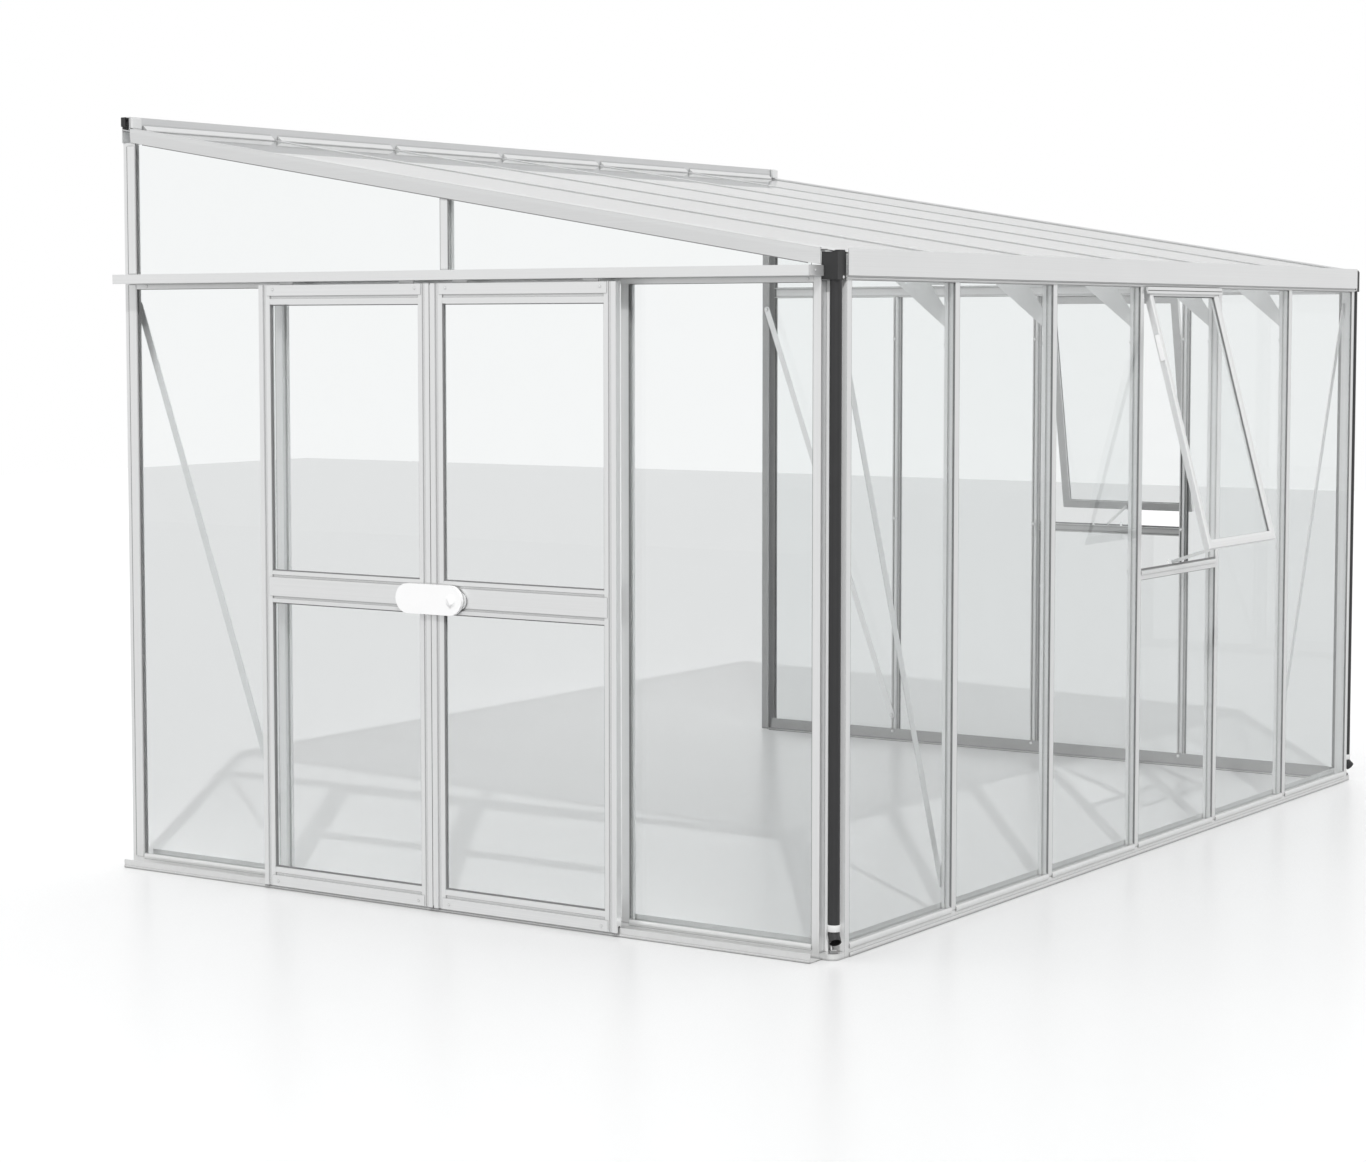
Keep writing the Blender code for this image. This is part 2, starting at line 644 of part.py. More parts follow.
def build_leaf(name, low_y):
    """A leaf: two stiles through, three rails between them, two panes and two hangers."""
    face = -LEAF_OUT
    high_y = low_y + LEAF_WIDTH
    inner = STILE - POCKET - 2 * LEAF_LIP
    step = LEAF_LIP / 4
    low, high = Vector((face, low_y, 0)), Vector((face, high_y, 0))
    frame = prism(f"{name}_frame", leaf_stile_section(), low, Y, X, Z, LEAF_FOOT, LEAF_TOP, ALUMINIUM)
    other = prism(f"{name}_stile", leaf_stile_section(), high, -Y, X, Z, LEAF_FOOT, LEAF_TOP, ALUMINIUM)
    pieces = [other]
    start, end = inner, LEAF_WIDTH - inner
    foot_at, top_at = low + Z * (LEAF_FOOT + step), low + Z * (LEAF_TOP - step)
    pieces.append(prism(f"{name}_foot_rail", leaf_rail_section(), foot_at, Z, X, Y, start, end, ALUMINIUM))
    pieces.append(prism(f"{name}_top_rail", leaf_rail_section(), top_at, -Z, X, Y, start, end, ALUMINIUM))
    mid_at = low + Z * MID_RAIL_FOOT
    pieces.append(prism(f"{name}_mid_rail", leaf_mid_section(), mid_at, Z, X, Y, start, end, ALUMINIUM))
    plate_out, plate_in = -HANGER_OUT, HANGER_THICK - HANGER_OUT
    hook_in, hook_foot, hook_top = HANGER_REACH - HANGER_OUT, SHELF + SHELF_LIP + SEAT, TRACK_TOP - WALL - RUN
    root = LEAF_TOP - HANGER_ROOT
    hanger = [
        (plate_out, root), (plate_out, hook_top), (hook_in, hook_top),
        (hook_in, hook_foot), (plate_in, hook_foot), (plate_in, root),
    ]
    for side, y in (("low", low_y + HANGER_INSET), ("high", high_y - HANGER_INSET)):
        pieces.append(prism(f"{name}_hanger_{side}", hanger, Vector((0, y, 0)), X, Z, Y,
                            -HANGER / 2, HANGER / 2, ALUMINIUM))
    for piece in pieces:
        combine(frame, piece, "UNION")
    slot = build_guide_slot(name, low)
    combine(frame, slot, "DIFFERENCE")
    return [frame, slot, *pieces, *build_leaf_panes(name, low)]


def build_guide_slot(name, low):
    """The slot along a leaf's foot that runs over the guide rail's lip."""
    front = LEAF_OUT - GUIDE_OUT - RUN
    outline = box_outline(-RUN, LEAF_WIDTH + RUN, front, front + WALL + 2 * RUN)
    return prism(f"{name}_guide_slot", outline, low, Y, X, Z, 0.0, GUIDE_LIP + RUN, ALUMINIUM)


def build_leaf_panes(name, low):
    depth = LEAF_POCKET + SEAT
    edge = STILE - POCKET - LEAF_LIP + SEAT
    rail_edge = RAIL - POCKET - LEAF_LIP / 2 + SEAT
    outline = box_outline(edge, LEAF_WIDTH - edge, depth, depth + GLASS)
    mid_low, mid_high = MID_RAIL_FOOT + POCKET - SEAT, MID_RAIL_FOOT + MID_RAIL - POCKET + SEAT
    lower = prism(f"{name}_lower_glass", outline, low, Y, X, Z, LEAF_FOOT + rail_edge, mid_low, CLEAR)
    upper = prism(f"{name}_upper_glass", outline, low, Y, X, Z, mid_high, LEAF_TOP - rail_edge, CLEAR)
    return [lower, upper]


def build_lock():
    """A round-ended plate over both meeting stiles, on a foot that one of them carries."""
    half, radius = LOCK_LENGTH / 2, LOCK_HEIGHT / 2
    outline = arc((half - radius, 0), radius, -90, 90, 10)
    outline += arc((radius - half, 0), radius, 90, 270, 10)
    origin = Vector((-LEAF_OUT, LEAF_MEETING, LOCK_CENTRE))
    plate = smooth(prism("lock", outline, origin, Y, Z, -X, RUN, LOCK_THICK, WHITE))
    side, tall = -LEAF_GAP / 2 - SEAT, LOCK_FOOT_HEIGHT / 2
    foot = prism("lock_foot", box_outline(side - LOCK_FOOT_WIDTH, side, -tall, tall), origin, Y, Z, -X,
                 SEAT, RUN + WALL, WHITE)
    return combine(plate, foot, "UNION"), foot


def build_doors():
    half_gap = LEAF_GAP / 2
    wall_side = build_leaf("wall_side_door", LEAF_MEETING + half_gap)
    corner_side = build_leaf("corner_side_door", LEAF_MEETING - half_gap - LEAF_WIDTH)
    corner_side += build_lock()
    for name, pieces in (("wall_side_door", wall_side), ("corner_side_door", corner_side)):
        slide = bpy.data.objects.new(f"{name}_slide", None)
        slide.location = Vector((-LEAF_OUT, LEAF_MEETING, LEAF_TOP))
        bpy.context.scene.collection.objects.link(slide)
        for piece in pieces:
            piece.location -= slide.location
            piece.parent = slide


def build_track():
    """Back plate, cover with a front lip, and the shelf that the hangers run on; (out, up)."""
    out, w = TRACK_OUT, WALL
    outline = [
        (SEAT, TRACK_FOOT), (SEAT, TRACK_TOP), (out, TRACK_TOP), (out, TRACK_FOOT + w / 3),
        (out - w, TRACK_FOOT), (out - w, TRACK_TOP - w), (SEAT + w, TRACK_TOP - w), (SEAT + w, SHELF),
        (SHELF_REACH - w, SHELF), (SHELF_REACH - w, SHELF + SHELF_LIP), (SHELF_REACH, SHELF + SHELF_LIP),
        (SHELF_REACH, SHELF - w), (SEAT + w, SHELF - w), (SEAT + w, TRACK_FOOT),
    ]
    prism("door_track", outline, Vector((0, 0, 0)), -X, Z, Y, TRACK_END, WIDTH - TRACK_WALL_END, ALUMINIUM)


def build_guide_rail():
    out, w = GUIDE_OUT, WALL
    outline = [(SEAT, 0), (out, 0), (out, GUIDE_LIP), (out - w, GUIDE_LIP), (out - w, w), (SEAT, w)]
    prism("guide_rail", outline, Vector((0, 0, 0)), -X, Z, Y, TRACK_END, WIDTH - TRACK_WALL_END, ALUMINIUM)


# Windows

def window_section():
    """Rounded outer rim with a glass pocket; (rim, inward)."""
    pocket = WINDOW_POCKET
    back = pocket + GLASS + 2 * SEAT
    return [
        (WINDOW_CHAMFER, 0), (WINDOW_RIM - POCKET, 0), (WINDOW_RIM, pocket / 2), (WINDOW_RIM, pocket),
        (WINDOW_RIM - POCKET, pocket), (WINDOW_RIM - POCKET, back), (WINDOW_RIM, back),
        (WINDOW_RIM, WINDOW_THICK), (0, WINDOW_THICK), (0, WINDOW_CHAMFER),
    ]


def build_window(name, corner, across, inward, width, tilt):
    """A top-hung casement under its head, from that corner of the glazing plane, with its stay."""
    down = -Z * math.cos(tilt) - inward * math.sin(tilt)
    back = inward * math.cos(tilt) - Z * math.sin(tilt)
    out = WINDOW_THICK * math.cos(tilt) - WINDOW_LAP
    origin = corner - inward * out + Z * (WINDOW_CHAMFER * math.sin(tilt) - SEAT)
    ring(f"{name}_frame", window_section(), width, WINDOW_LENGTH, origin, across, back, down, ALUMINIUM)
    depth = WINDOW_POCKET + SEAT
    edge = WINDOW_RIM - POCKET + SEAT
    pane = box_outline(edge, width - edge, depth, depth + GLASS)
    prism(f"{name}_glass", pane, origin, across, back, down, edge, WINDOW_LENGTH - edge, CLEAR)
    rail = down * (WINDOW_LENGTH - WINDOW_RIM / 2) + back * (WINDOW_THICK + SEAT)
    foot = corner + inward * TRANSOM_DEPTH
    foot.z = CILL_TOP + SEAT + STAY_WIDTH / 2
    middle = across * (width / 2)
    build_stay(name, foot + middle, origin + middle + rail, across, back)


def build_stay(name, foot, rail, across, back):
    """A flat bar from over the cill to the casement's foot rail."""
    along = (rail - foot).normalized()
    up = along.cross(across)
    if up.z < 0:
        up = -up
    outline = box_outline(-STAY_THICK / 2, STAY_THICK / 2, -STAY_WIDTH / 2 + STAY_THICK / 4, STAY_WIDTH / 2)
    prism(f"{name}_stay", outline, foot, across, up, along, 0.0, (rail, back), ALUMINIUM)


def build_windows():
    side = WINDOW_SIDE
    left = front_bar_x(WINDOW_BAY)
    build_window("front_window", Vector((left + side, 0, EAVE_HEIGHT)), X, Y,
                 FRONT_PITCH - 2 * side, FRONT_WINDOW_TILT)
    section = transom_section(CILL_HEIGHT, TRANSOM_DEPTH)
    cill_gap = CAP_WIDTH / 2 + SEAT
    prism("front_window_cill", section, Vector((left, 0, CILL_FOOT)), Y, Z, X,
          cill_gap, FRONT_PITCH - cill_gap, ALUMINIUM)
    low = gable_bar_y(1)
    build_window("far_window", Vector((LENGTH, low + side, TRANSOM_FOOT)), Y, -X,
                 GABLE_PITCH - 2 * side, FAR_WINDOW_TILT)
    prism("far_window_cill", section, Vector((LENGTH, low, CILL_FOOT)), -X, Z, Y,
          cill_gap, GABLE_PITCH - cill_gap, ALUMINIUM)


# Glass

def comb(name, spans, root, tips, origin, across, inward, along, step=(0.0, 0.0)):
    """Panes side by side on one sheet, joined by a strip that lies in a pocket.

    The tips of the two end panes may step back at the corners, by (width, length).
    """
    outline = []
    sign = 1 if tips[0] > root else -1
    strip = root + STRIP * sign
    last = len(spans) - 1
    outline.append((spans[0][0], root))
    for index, (low, high) in enumerate(spans):
        if index:
            outline.append((low, strip))
        if index == 0 and step[1]:
            outline += [(low, tips[index] - sign * step[1]), (low + step[0], tips[index] - sign * step[1])]
            low += step[0]
        outline.append((low, tips[index]))
        if index == last and step[1]:
            outline += [(high - step[0], tips[index]), (high - step[0], tips[index] - sign * step[1])]
            outline.append((high, tips[index] - sign * step[1]))
        else:
            outline.append((high, tips[index]))
        if index < last:
            outline.append((high, strip))
    outline.append((spans[-1][1], root))
    depth = GLASS_OUTER
    return prism(name, outline, origin, across, along, inward, depth, depth + GLASS, CLEAR)


def pane_spans(places, low, high):
    """The runs between bars, clear of their webs."""
    gap = WEB_CLEAR
    lows = [low] + [place + gap for place in places]
    highs = [place - gap for place in places] + [high]
    return list(zip(lows, highs))


def build_front_glass():
    places = [front_bar_x(i) for i in range(1, FRONT_BAYS)]
    low = CORNER_RECESS + WALL + SEAT
    spans = pane_spans(places, low, LENGTH - low)
    root = SILL_HEIGHT - POCKET - WALL + SEAT
    tips = [EAVE_HEIGHT + POCKET - SEAT] * FRONT_BAYS
    tips[WINDOW_BAY] = CILL_FOOT + POCKET - SEAT
    comb("front_glass", spans, root, tips, Vector((0, 0, 0)), X, Y, Z)


def build_roof_glass():
    places = [front_bar_x(i) for i in range(1, FRONT_BAYS)]
    edge = VERGE_OUT - WALL - SEAT
    spans = pane_spans(places, -edge, LENGTH + edge)
    root = (WIDTH - WALL - SEAT) / math.cos(ROOF_ANGLE) - ROOF_GLASS_TOP
    tips = [ROOF_GLASS_END] * FRONT_BAYS
    step = (END_CAP + edge + SEAT, (CORNER_RECESS + BAR_LIP) / math.cos(ROOF_ANGLE) - ROOF_GLASS_END)
    origin = Vector((0, 0, ROOF_HEIGHT))
    comb("roof_glass", spans, root, tips, origin, X, -ROOF_UP, ROOF_ALONG, step)


def build_gable_glass():
    post = WIDTH - WALL - SEAT
    low = CORNER_RECESS + WALL + SEAT
    root = SILL_HEIGHT - POCKET - WALL + SEAT
    top = TRANSOM_FOOT + POCKET - SEAT
    plane, inward = gable("far")
    places = [gable_bar_y(i) for i in range(1, GABLE_BAYS)]
    tips = [top] * GABLE_BAYS
    tips[1] = CILL_FOOT + POCKET - SEAT
    comb("far_glass", pane_spans(places, low, post), root, tips, Vector((plane, 0, 0)), Y, inward, Z)
    gap = WEB_CLEAR
    for name, a, b in (("corner_side_pane", low, places[0] - gap), ("wall_side_pane", places[2] + gap, post)):
        outline = box_outline(a, b, GLASS_OUTER, GLASS_INNER)
        prism(name, outline, Vector((0, 0, 0)), Y, X, Z, root, top, CLEAR)


def build_upper_glass():
    """The two panes over each transom, on one sheet with a slot for the upper bar."""
    root = TRANSOM_TOP - POCKET + SEAT
    strip = root + STRIP
    middle = gable_bar_y(GABLE_BAYS // 2)
    slot_low, slot_high = middle - WEB_CLEAR, middle + WEB_CLEAR
    under = SEAT_DEPTH + WALL + SEAT
    low, high = CORNER_REACH + POCKET, WALL_BAR_FACE - SEAT
    for which in ("near", "far"):
        plane, inward = gable(which)
        outline = [
            (low, root), (high, root), (high, roof_z(high, under)),
            (slot_high, roof_z(slot_high, under)), (slot_high, strip),
            (slot_low, strip), (slot_low, roof_z(slot_low, under)), (low, roof_z(low, under)),
        ]
        prism(f"{which}_upper_glass", outline, Vector((plane, 0, 0)), Y, Z, inward,
              GLASS_OUTER, GLASS_INNER, CLEAR)


# Bracing

def build_brace(name, start, end, across_plane):
    """A flat strap with round ends, between two points on a wall's inner face."""
    along = (end - start).normalized()
    side = across_plane.cross(along)
    length = (end - start).length
    half = BRACE_WIDTH / 2
    outline = arc((length - half, 0), half, -90, 90, 8) + arc((half, 0), half, 90, 270, 8)
    prism(name, outline, start, along, side, across_plane, 0.0, WALL, ALUMINIUM)


def build_braces():
    depth = BAR_DEPTH + SEAT
    foot, top = BRACE_FOOT, EAVE_HEIGHT - BRACE_DROP
    post_y = WIDTH - WALL_FLANGE + BRACE_WIDTH / 2
    bar_y = gable_bar_y(GABLE_BAYS - 1)
    for which in ("near", "far"):
        plane, inward = gable(which)
        at = plane + inward.x * depth
        build_brace(f"{which}_brace", Vector((at, bar_y, foot)), Vector((at, post_y, top)), inward)
    corner_x = BAR_DEPTH + BRACE_WIDTH / 2 + SEAT
    for which, bar in (("near", 1), ("far", FRONT_BAYS - 1)):
        plane, inward = gable(which)
        start = Vector((front_bar_x(bar), depth, foot))
        end = Vector((plane + inward.x * corner_x, depth, top))
        build_brace(f"front_brace_{which}", start, end, Y)


def build_gusset(bar, index):
    """A knee plate that grows out of a front bar's bolt slot and reaches along the roof bar."""
    root = BAR_DEPTH - BAR_HEAD_DEPTH
    under = BAR_DEPTH + SEAT
    outline = [
        (root, EAVE_HEIGHT - GUSSET_DROP), (GUSSET_REACH, roof_z(GUSSET_REACH, under) - GUSSET_TIP),
        (GUSSET_REACH, roof_z(GUSSET_REACH, under)), (EAVE_DEPTH + SEAT, roof_z(EAVE_DEPTH + SEAT, under)),
        (EAVE_DEPTH + SEAT, EAVE_HEIGHT - 2 * SEAT), (root, EAVE_HEIGHT - 2 * SEAT),
    ]
    origin = Vector((front_bar_x(index), 0, 0))
    plate = prism(f"gusset_{index}", outline, origin, Y, Z, X, -GUSSET_THICK / 2, GUSSET_THICK / 2, ALUMINIUM)
    combine(bar, plate, "UNION")
    start, top = BAR_DEPTH + GUSSET_OPEN_START, EAVE_HEIGHT - GUSSET_OPEN_TOP
    corners = [(start, EAVE_HEIGHT - GUSSET_OPEN_DROP), (start + GUSSET_OPEN_REACH, top), (start, top)]
    opening = prism(f"gusset_opening_{index}", corners, origin, Y, Z, X,
                    -GUSSET_THICK, GUSSET_THICK, ALUMINIUM)
    combine(bar, opening, "DIFFERENCE")


def centre_on_floor():
    """Move the whole greenhouse so that the middle of its box is over the origin."""
    bpy.context.view_layer.update()
    low, high = [1e9, 1e9], [-1e9, -1e9]
    for obj in bpy.data.objects:
        if obj.type != "MESH" or obj.hide_render:
            continue
        for vertex in obj.data.vertices:
            point = obj.matrix_world @ vertex.co
            for axis in range(2):
                low[axis] = min(low[axis], point[axis])
                high[axis] = max(high[axis], point[axis])
    shift = Vector(((low[0] + high[0]) / 2, (low[1] + high[1]) / 2, 0))
    for obj in bpy.data.objects:
        if obj.parent is None:
            obj.location -= shift
    print("centre shift", tuple(round(c, 5) for c in shift))


def main():
    clear_scene()
    build_sills()
    build_corner_posts()
    build_wall_posts()
    build_front_bars()
    build_gable_bars()
    build_transoms()
    build_eave_beam()
    build_wall_bar()
    build_roof_bars()
    build_verges()
    build_downpipes()
    build_doors()
    build_track()
    build_guide_rail()
    build_windows()
    build_front_glass()
    build_roof_glass()
    build_gable_glass()
    build_upper_glass()
    build_braces()
    centre_on_floor()


main()
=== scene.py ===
# %% [markdown]
# # A lean-to greenhouse in mill-finish aluminium
# The greenhouse has glass on three sides, a glazed roof that slopes one way, and an open back. Its
# sections, doors, windows and panes come from the CAD frame at their real size. This lesson gives
# each section the look of drawn aluminium, puts clear glass in the bays, and adds the seals, bolts
# and clips that hold it together.

# %% Load the frame
import math

import bmesh
import bpy
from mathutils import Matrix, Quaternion, Vector


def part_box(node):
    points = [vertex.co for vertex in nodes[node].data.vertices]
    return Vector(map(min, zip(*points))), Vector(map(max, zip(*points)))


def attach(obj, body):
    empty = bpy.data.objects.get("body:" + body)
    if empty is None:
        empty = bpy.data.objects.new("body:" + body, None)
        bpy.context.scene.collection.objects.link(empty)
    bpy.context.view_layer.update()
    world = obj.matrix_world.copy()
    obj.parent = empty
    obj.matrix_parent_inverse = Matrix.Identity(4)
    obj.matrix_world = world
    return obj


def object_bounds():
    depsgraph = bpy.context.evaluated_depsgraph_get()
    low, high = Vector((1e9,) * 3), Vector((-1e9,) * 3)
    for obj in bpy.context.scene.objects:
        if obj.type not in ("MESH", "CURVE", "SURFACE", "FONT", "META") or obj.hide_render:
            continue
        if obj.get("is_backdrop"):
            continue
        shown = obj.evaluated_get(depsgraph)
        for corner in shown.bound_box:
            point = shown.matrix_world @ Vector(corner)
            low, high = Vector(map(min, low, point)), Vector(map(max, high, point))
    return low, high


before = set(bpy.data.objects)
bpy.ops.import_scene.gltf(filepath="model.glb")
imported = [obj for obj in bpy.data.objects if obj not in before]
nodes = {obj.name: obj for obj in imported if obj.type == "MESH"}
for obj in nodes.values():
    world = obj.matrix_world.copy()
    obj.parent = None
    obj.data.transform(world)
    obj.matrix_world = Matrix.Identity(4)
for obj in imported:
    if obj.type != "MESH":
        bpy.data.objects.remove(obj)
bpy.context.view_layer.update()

# %% [markdown]
# ## Places
# A builder measures from a corner, so the pieces below are placed from the corner at the door end:
# x along the front, y towards the open back and z up, in metres. The frame's own origin lies under
# the middle of the building. One function turns the builder's numbers into the frame's, and the main
# sizes are read from the frame's boxes, so that they follow when the CAD changes. The roof rises
# 16.4 cm in each metre towards the back, which gives its angle and the heights of its plane.

# %% Places
X, Y, Z = Vector((1, 0, 0)), Vector((0, 1, 0)), Vector((0, 0, 1))
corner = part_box("corner_post_near")[0]
corner.z = 0.0
LENGTH = (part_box("corner_post_far")[1] - corner).x
WIDTH = (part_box("wall_post_near")[1] - corner).y


def at(x, y, z):
    """A point measured from the corner at the door end."""
    return corner + Vector((x, y, z))


def measured(name):
    """A node's box, measured from the same corner."""
    low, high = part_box(name)
    return low - corner, high - corner


def middle(name):
    low, high = measured(name)
    return (low + high) / 2


def wall_of(which):
    """A gable's glazing plane, and the direction into the room."""
    return (0.0, X) if which == "near" else (LENGTH, -X)


print("length", round(LENGTH, 3), "width", round(WIDTH, 3))

# %% Bars, eaves and roof plane
FRONT_BARS = [middle(f"front_bar_{i}").x for i in range(1, 6)]
GABLE_BARS = [middle(f"far_bar_{i}").y for i in range(1, 4)]
EAVE = measured("eave_beam")[0].z
WALL_BAR_FACE = measured("wall_bar")[0].y
roof_high = measured("roof_bar_1")[1]
ROOF_SLOPE = 0.1639
ROOF_ANGLE = math.atan(ROOF_SLOPE)
ROOF_HEIGHT = roof_high.z - ROOF_SLOPE * roof_high.y
ROOF_UP = Vector((0, -math.sin(ROOF_ANGLE), math.cos(ROOF_ANGLE)))
ROOF_ALONG = Vector((0, math.cos(ROOF_ANGLE), math.sin(ROOF_ANGLE)))


def roof_z(y, depth=0.0):
    """Height of the roof's outer plane, or of a plane that lies this deep under it."""
    return ROOF_HEIGHT + ROOF_SLOPE * y - depth / math.cos(ROOF_ANGLE)


print("front bars at", [round(x, 3) for x in FRONT_BARS])
print("eaves", round(EAVE, 3), "roof plane over the front", round(ROOF_HEIGHT, 3))

# %% [markdown]
# ## Camera
# The picture is taken from outside the door corner at a little under two metres, with a long lens
# from about nine metres. A long lens keeps both walls at nearly the same scale. The camera is turned
# with a compass angle, a small tilt down and a trace of roll. The lens is shifted a little, which
# moves the building in the picture and leaves the perspective as it is.

# %% Camera
CAMERA_PLACE = (-7.6925, -4.5130, 1.9556)
CAMERA_COMPASS = math.radians(34.236)
CAMERA_TILT = math.radians(4.267)
CAMERA_ROLL = math.radians(-0.072)
CAMERA_LENS = 77.20
CAMERA_SHIFT = (0.0309, -0.0273)


def add_camera():
    data = bpy.data.cameras.new("camera")
    data.lens = CAMERA_LENS
    data.shift_x, data.shift_y = CAMERA_SHIFT
    data.clip_end = 300.0
    camera = bpy.data.objects.new("camera", data)
    bpy.context.scene.collection.objects.link(camera)
    level = math.cos(CAMERA_TILT)
    forward = Vector((math.cos(CAMERA_COMPASS) * level, math.sin(CAMERA_COMPASS) * level,
                      -math.sin(CAMERA_TILT)))
    camera.location = at(*CAMERA_PLACE)
    camera.rotation_mode = "QUATERNION"
    camera.rotation_quaternion = forward.to_track_quat("-Z", "Y") @ Quaternion(Z, CAMERA_ROLL)
    bpy.context.scene.camera = camera
    return camera


camera = add_camera()
print("camera at", [round(v, 2) for v in camera.location])

# %% [markdown]
# ## Shader wiring
# Materials are wired in code. Small helpers keep that readable: one adds a node with its settings,
# one links an output or a number into a socket, one does a sum, and one blends two colours. In a Mix
# node the colours have the sockets 6 and 7 and the result is output 2, so those numbers stand here
# once, and nowhere else.

# %% Wiring helpers
def add_node(tree, kind, **settings):
    node = tree.nodes.new(kind)
    for key, value in settings.items():
        setattr(node, key, value)
    return node


def feed(tree, socket, source):
    """Link an output into a socket, or set the socket to a plain value."""
    if isinstance(source, bpy.types.NodeSocket):
        tree.links.new(source, socket)
    else:
        socket.default_value = source


def calculate(tree, operation, first, second=0.0, clamp=False):
    node = add_node(tree, "ShaderNodeMath", operation=operation, use_clamp=clamp)
    feed(tree, node.inputs[0], first)
    feed(tree, node.inputs[1], second)
    return node.outputs[0]


def blend_colours(tree, mask, first, second, blend="MIX"):
    node = add_node(tree, "ShaderNodeMix", data_type="RGBA", blend_type=blend)
    feed(tree, node.inputs["Factor"], mask)
    feed(tree, node.inputs[6], first)
    feed(tree, node.inputs[7], second)
    return node.outputs[2]


def tone(colour, share=1.0):
    """A colour made darker or lighter by a share, with the fourth value that a socket needs."""
    return tuple(min(c * share, 1.0) for c in colour) + (1,)


print("wiring helpers ready")

# %% [markdown]
# ## Groups and materials
# A node group is an effect with named inputs, built once and placed in each material with its own
# values. A material starts from its Principled shader and from the object's own coordinates. A Bump
# node gives small relief, and each material says what feeds it and how strong it is.

# %% Group and material helpers
def new_group(name, inputs, outputs):
    """A shader node group with float or vector sockets."""
    tree = bpy.data.node_groups.new(name, "ShaderNodeTree")
    for label, kind, value in inputs:
        socket = tree.interface.new_socket(label, in_out="INPUT", socket_type=kind)
        socket.default_value = value
    for label, kind in outputs:
        tree.interface.new_socket(label, in_out="OUTPUT", socket_type=kind)
    return tree, add_node(tree, "NodeGroupInput"), add_node(tree, "NodeGroupOutput")


def place_group(tree, group, **values):
    node = add_node(tree, "ShaderNodeGroup", node_tree=group)
    for key, value in values.items():
        feed(tree, node.inputs[key.replace("_", " ")], value)
    return node


def new_material(name):
    """A material with its Principled shader and the object's own coordinates."""
    material = bpy.data.materials.new(name)
    material.use_nodes = True
    tree = material.node_tree
    place = add_node(tree, "ShaderNodeTexCoord").outputs["Object"]
    return material, tree, tree.nodes["Principled BSDF"], place


def add_bump(tree, shader, height, strength, distance):
    """Small relief from a value that changes over the surface."""
    bump = add_node(tree, "ShaderNodeBump")
    bump.inputs["Strength"].default_value = strength
    bump.inputs["Distance"].default_value = distance
    feed(tree, bump.inputs["Height"], height)
    feed(tree, shader.inputs["Normal"], bump.outputs["Normal"])


print("group and material helpers ready")

# %% [markdown]
# ## Studio sky
# The building stands on a wide pale floor under an even white sky, as in a product studio. The sky
# is plain white where the camera looks at it, straight or through a pane. Metal mirrors it a shade
# darker, and as a light it is dimmer, so that a colour renders about as it is written. Light that
# reaches the room through a pane has already been counted by the clear shadows of the glass, so a
# ray that bounced and then crossed a pane finds only a little more.

# %% Sky
SKY_LIGHT = 0.74
SKY_IN_METAL = 0.88
SKY_THROUGH_PANES = 0.13


def add_sky():
    world = bpy.data.worlds.new("studio_sky")
    bpy.context.scene.world = world
    world.use_nodes = True
    tree = world.node_tree
    tree.nodes.clear()
    path = add_node(tree, "ShaderNodeLightPath")
    depth = calculate(tree, "ADD", path.outputs["Diffuse Depth"], path.outputs["Glossy Depth"])
    bounced = calculate(tree, "GREATER_THAN", depth, 0.5)
    crossed = path.outputs["Is Transmission Ray"]
    looked = calculate(tree, "MULTIPLY", crossed, calculate(tree, "SUBTRACT", 1.0, bounced))
    seen = calculate(tree, "MAXIMUM", path.outputs["Is Camera Ray"], looked)
    mirrored = calculate(tree, "MULTIPLY", path.outputs["Is Glossy Ray"], SKY_IN_METAL)
    inside = calculate(tree, "MULTIPLY", crossed, SKY_LIGHT - SKY_THROUGH_PANES)
    plain = calculate(tree, "SUBTRACT", SKY_LIGHT, inside)
    strength = calculate(tree, "MAXIMUM", calculate(tree, "MAXIMUM", seen, mirrored), plain)
    sky = add_node(tree, "ShaderNodeBackground")
    sky.inputs["Color"].default_value = (1, 1, 1, 1)
    feed(tree, sky.inputs["Strength"], strength)
    feed(tree, add_node(tree, "ShaderNodeOutputWorld").inputs["Surface"], sky.outputs[0])


add_sky()
bpy.context.scene.view_settings.view_transform = "Standard"
print("sky light", SKY_LIGHT)

# %% [markdown]
# ## Floor
# The floor ends well behind the camera and far beyond the building, and the panes mirror its edge as
# a soft level line. It is painted pale grey. A little glow that only the camera sees lifts it to
# white. The glow grows weaker close to the building, where the glazed sides hide a part of the sky,
# so a soft painted shade lies along the sills. Behind a pane the glow is nearly gone, and the shadows
# on the floor of the room keep their depth.

# %% Floor paint
FLOOR_PALE, FLOOR_GREY = (0.612, 0.614, 0.616), (0.602, 0.604, 0.606)
FLOOR_GLOW = 0.33
FLOOR_SHADE = 1.05
FLOOR_REACH = 2.6
FLOOR_BEHIND_PANES = 0.05


def floor_paint():
    material, tree, shader, place = new_material("studio_floor_paint")
    noise = add_node(tree, "ShaderNodeTexNoise")
    noise.inputs["Scale"].default_value = 0.35
    feed(tree, noise.inputs["Vector"], place)
    paint = blend_colours(tree, noise.outputs["Fac"], tone(FLOOR_GREY), tone(FLOOR_PALE))
    feed(tree, shader.inputs["Base Color"], paint)
    shader.inputs["Roughness"].default_value = 0.28
    shader.inputs["Specular IOR Level"].default_value = 0.4
    feed(tree, shader.inputs["Emission Color"], floor_glow(tree))
    shader.inputs["Emission Strength"].default_value = 1.0
    return material


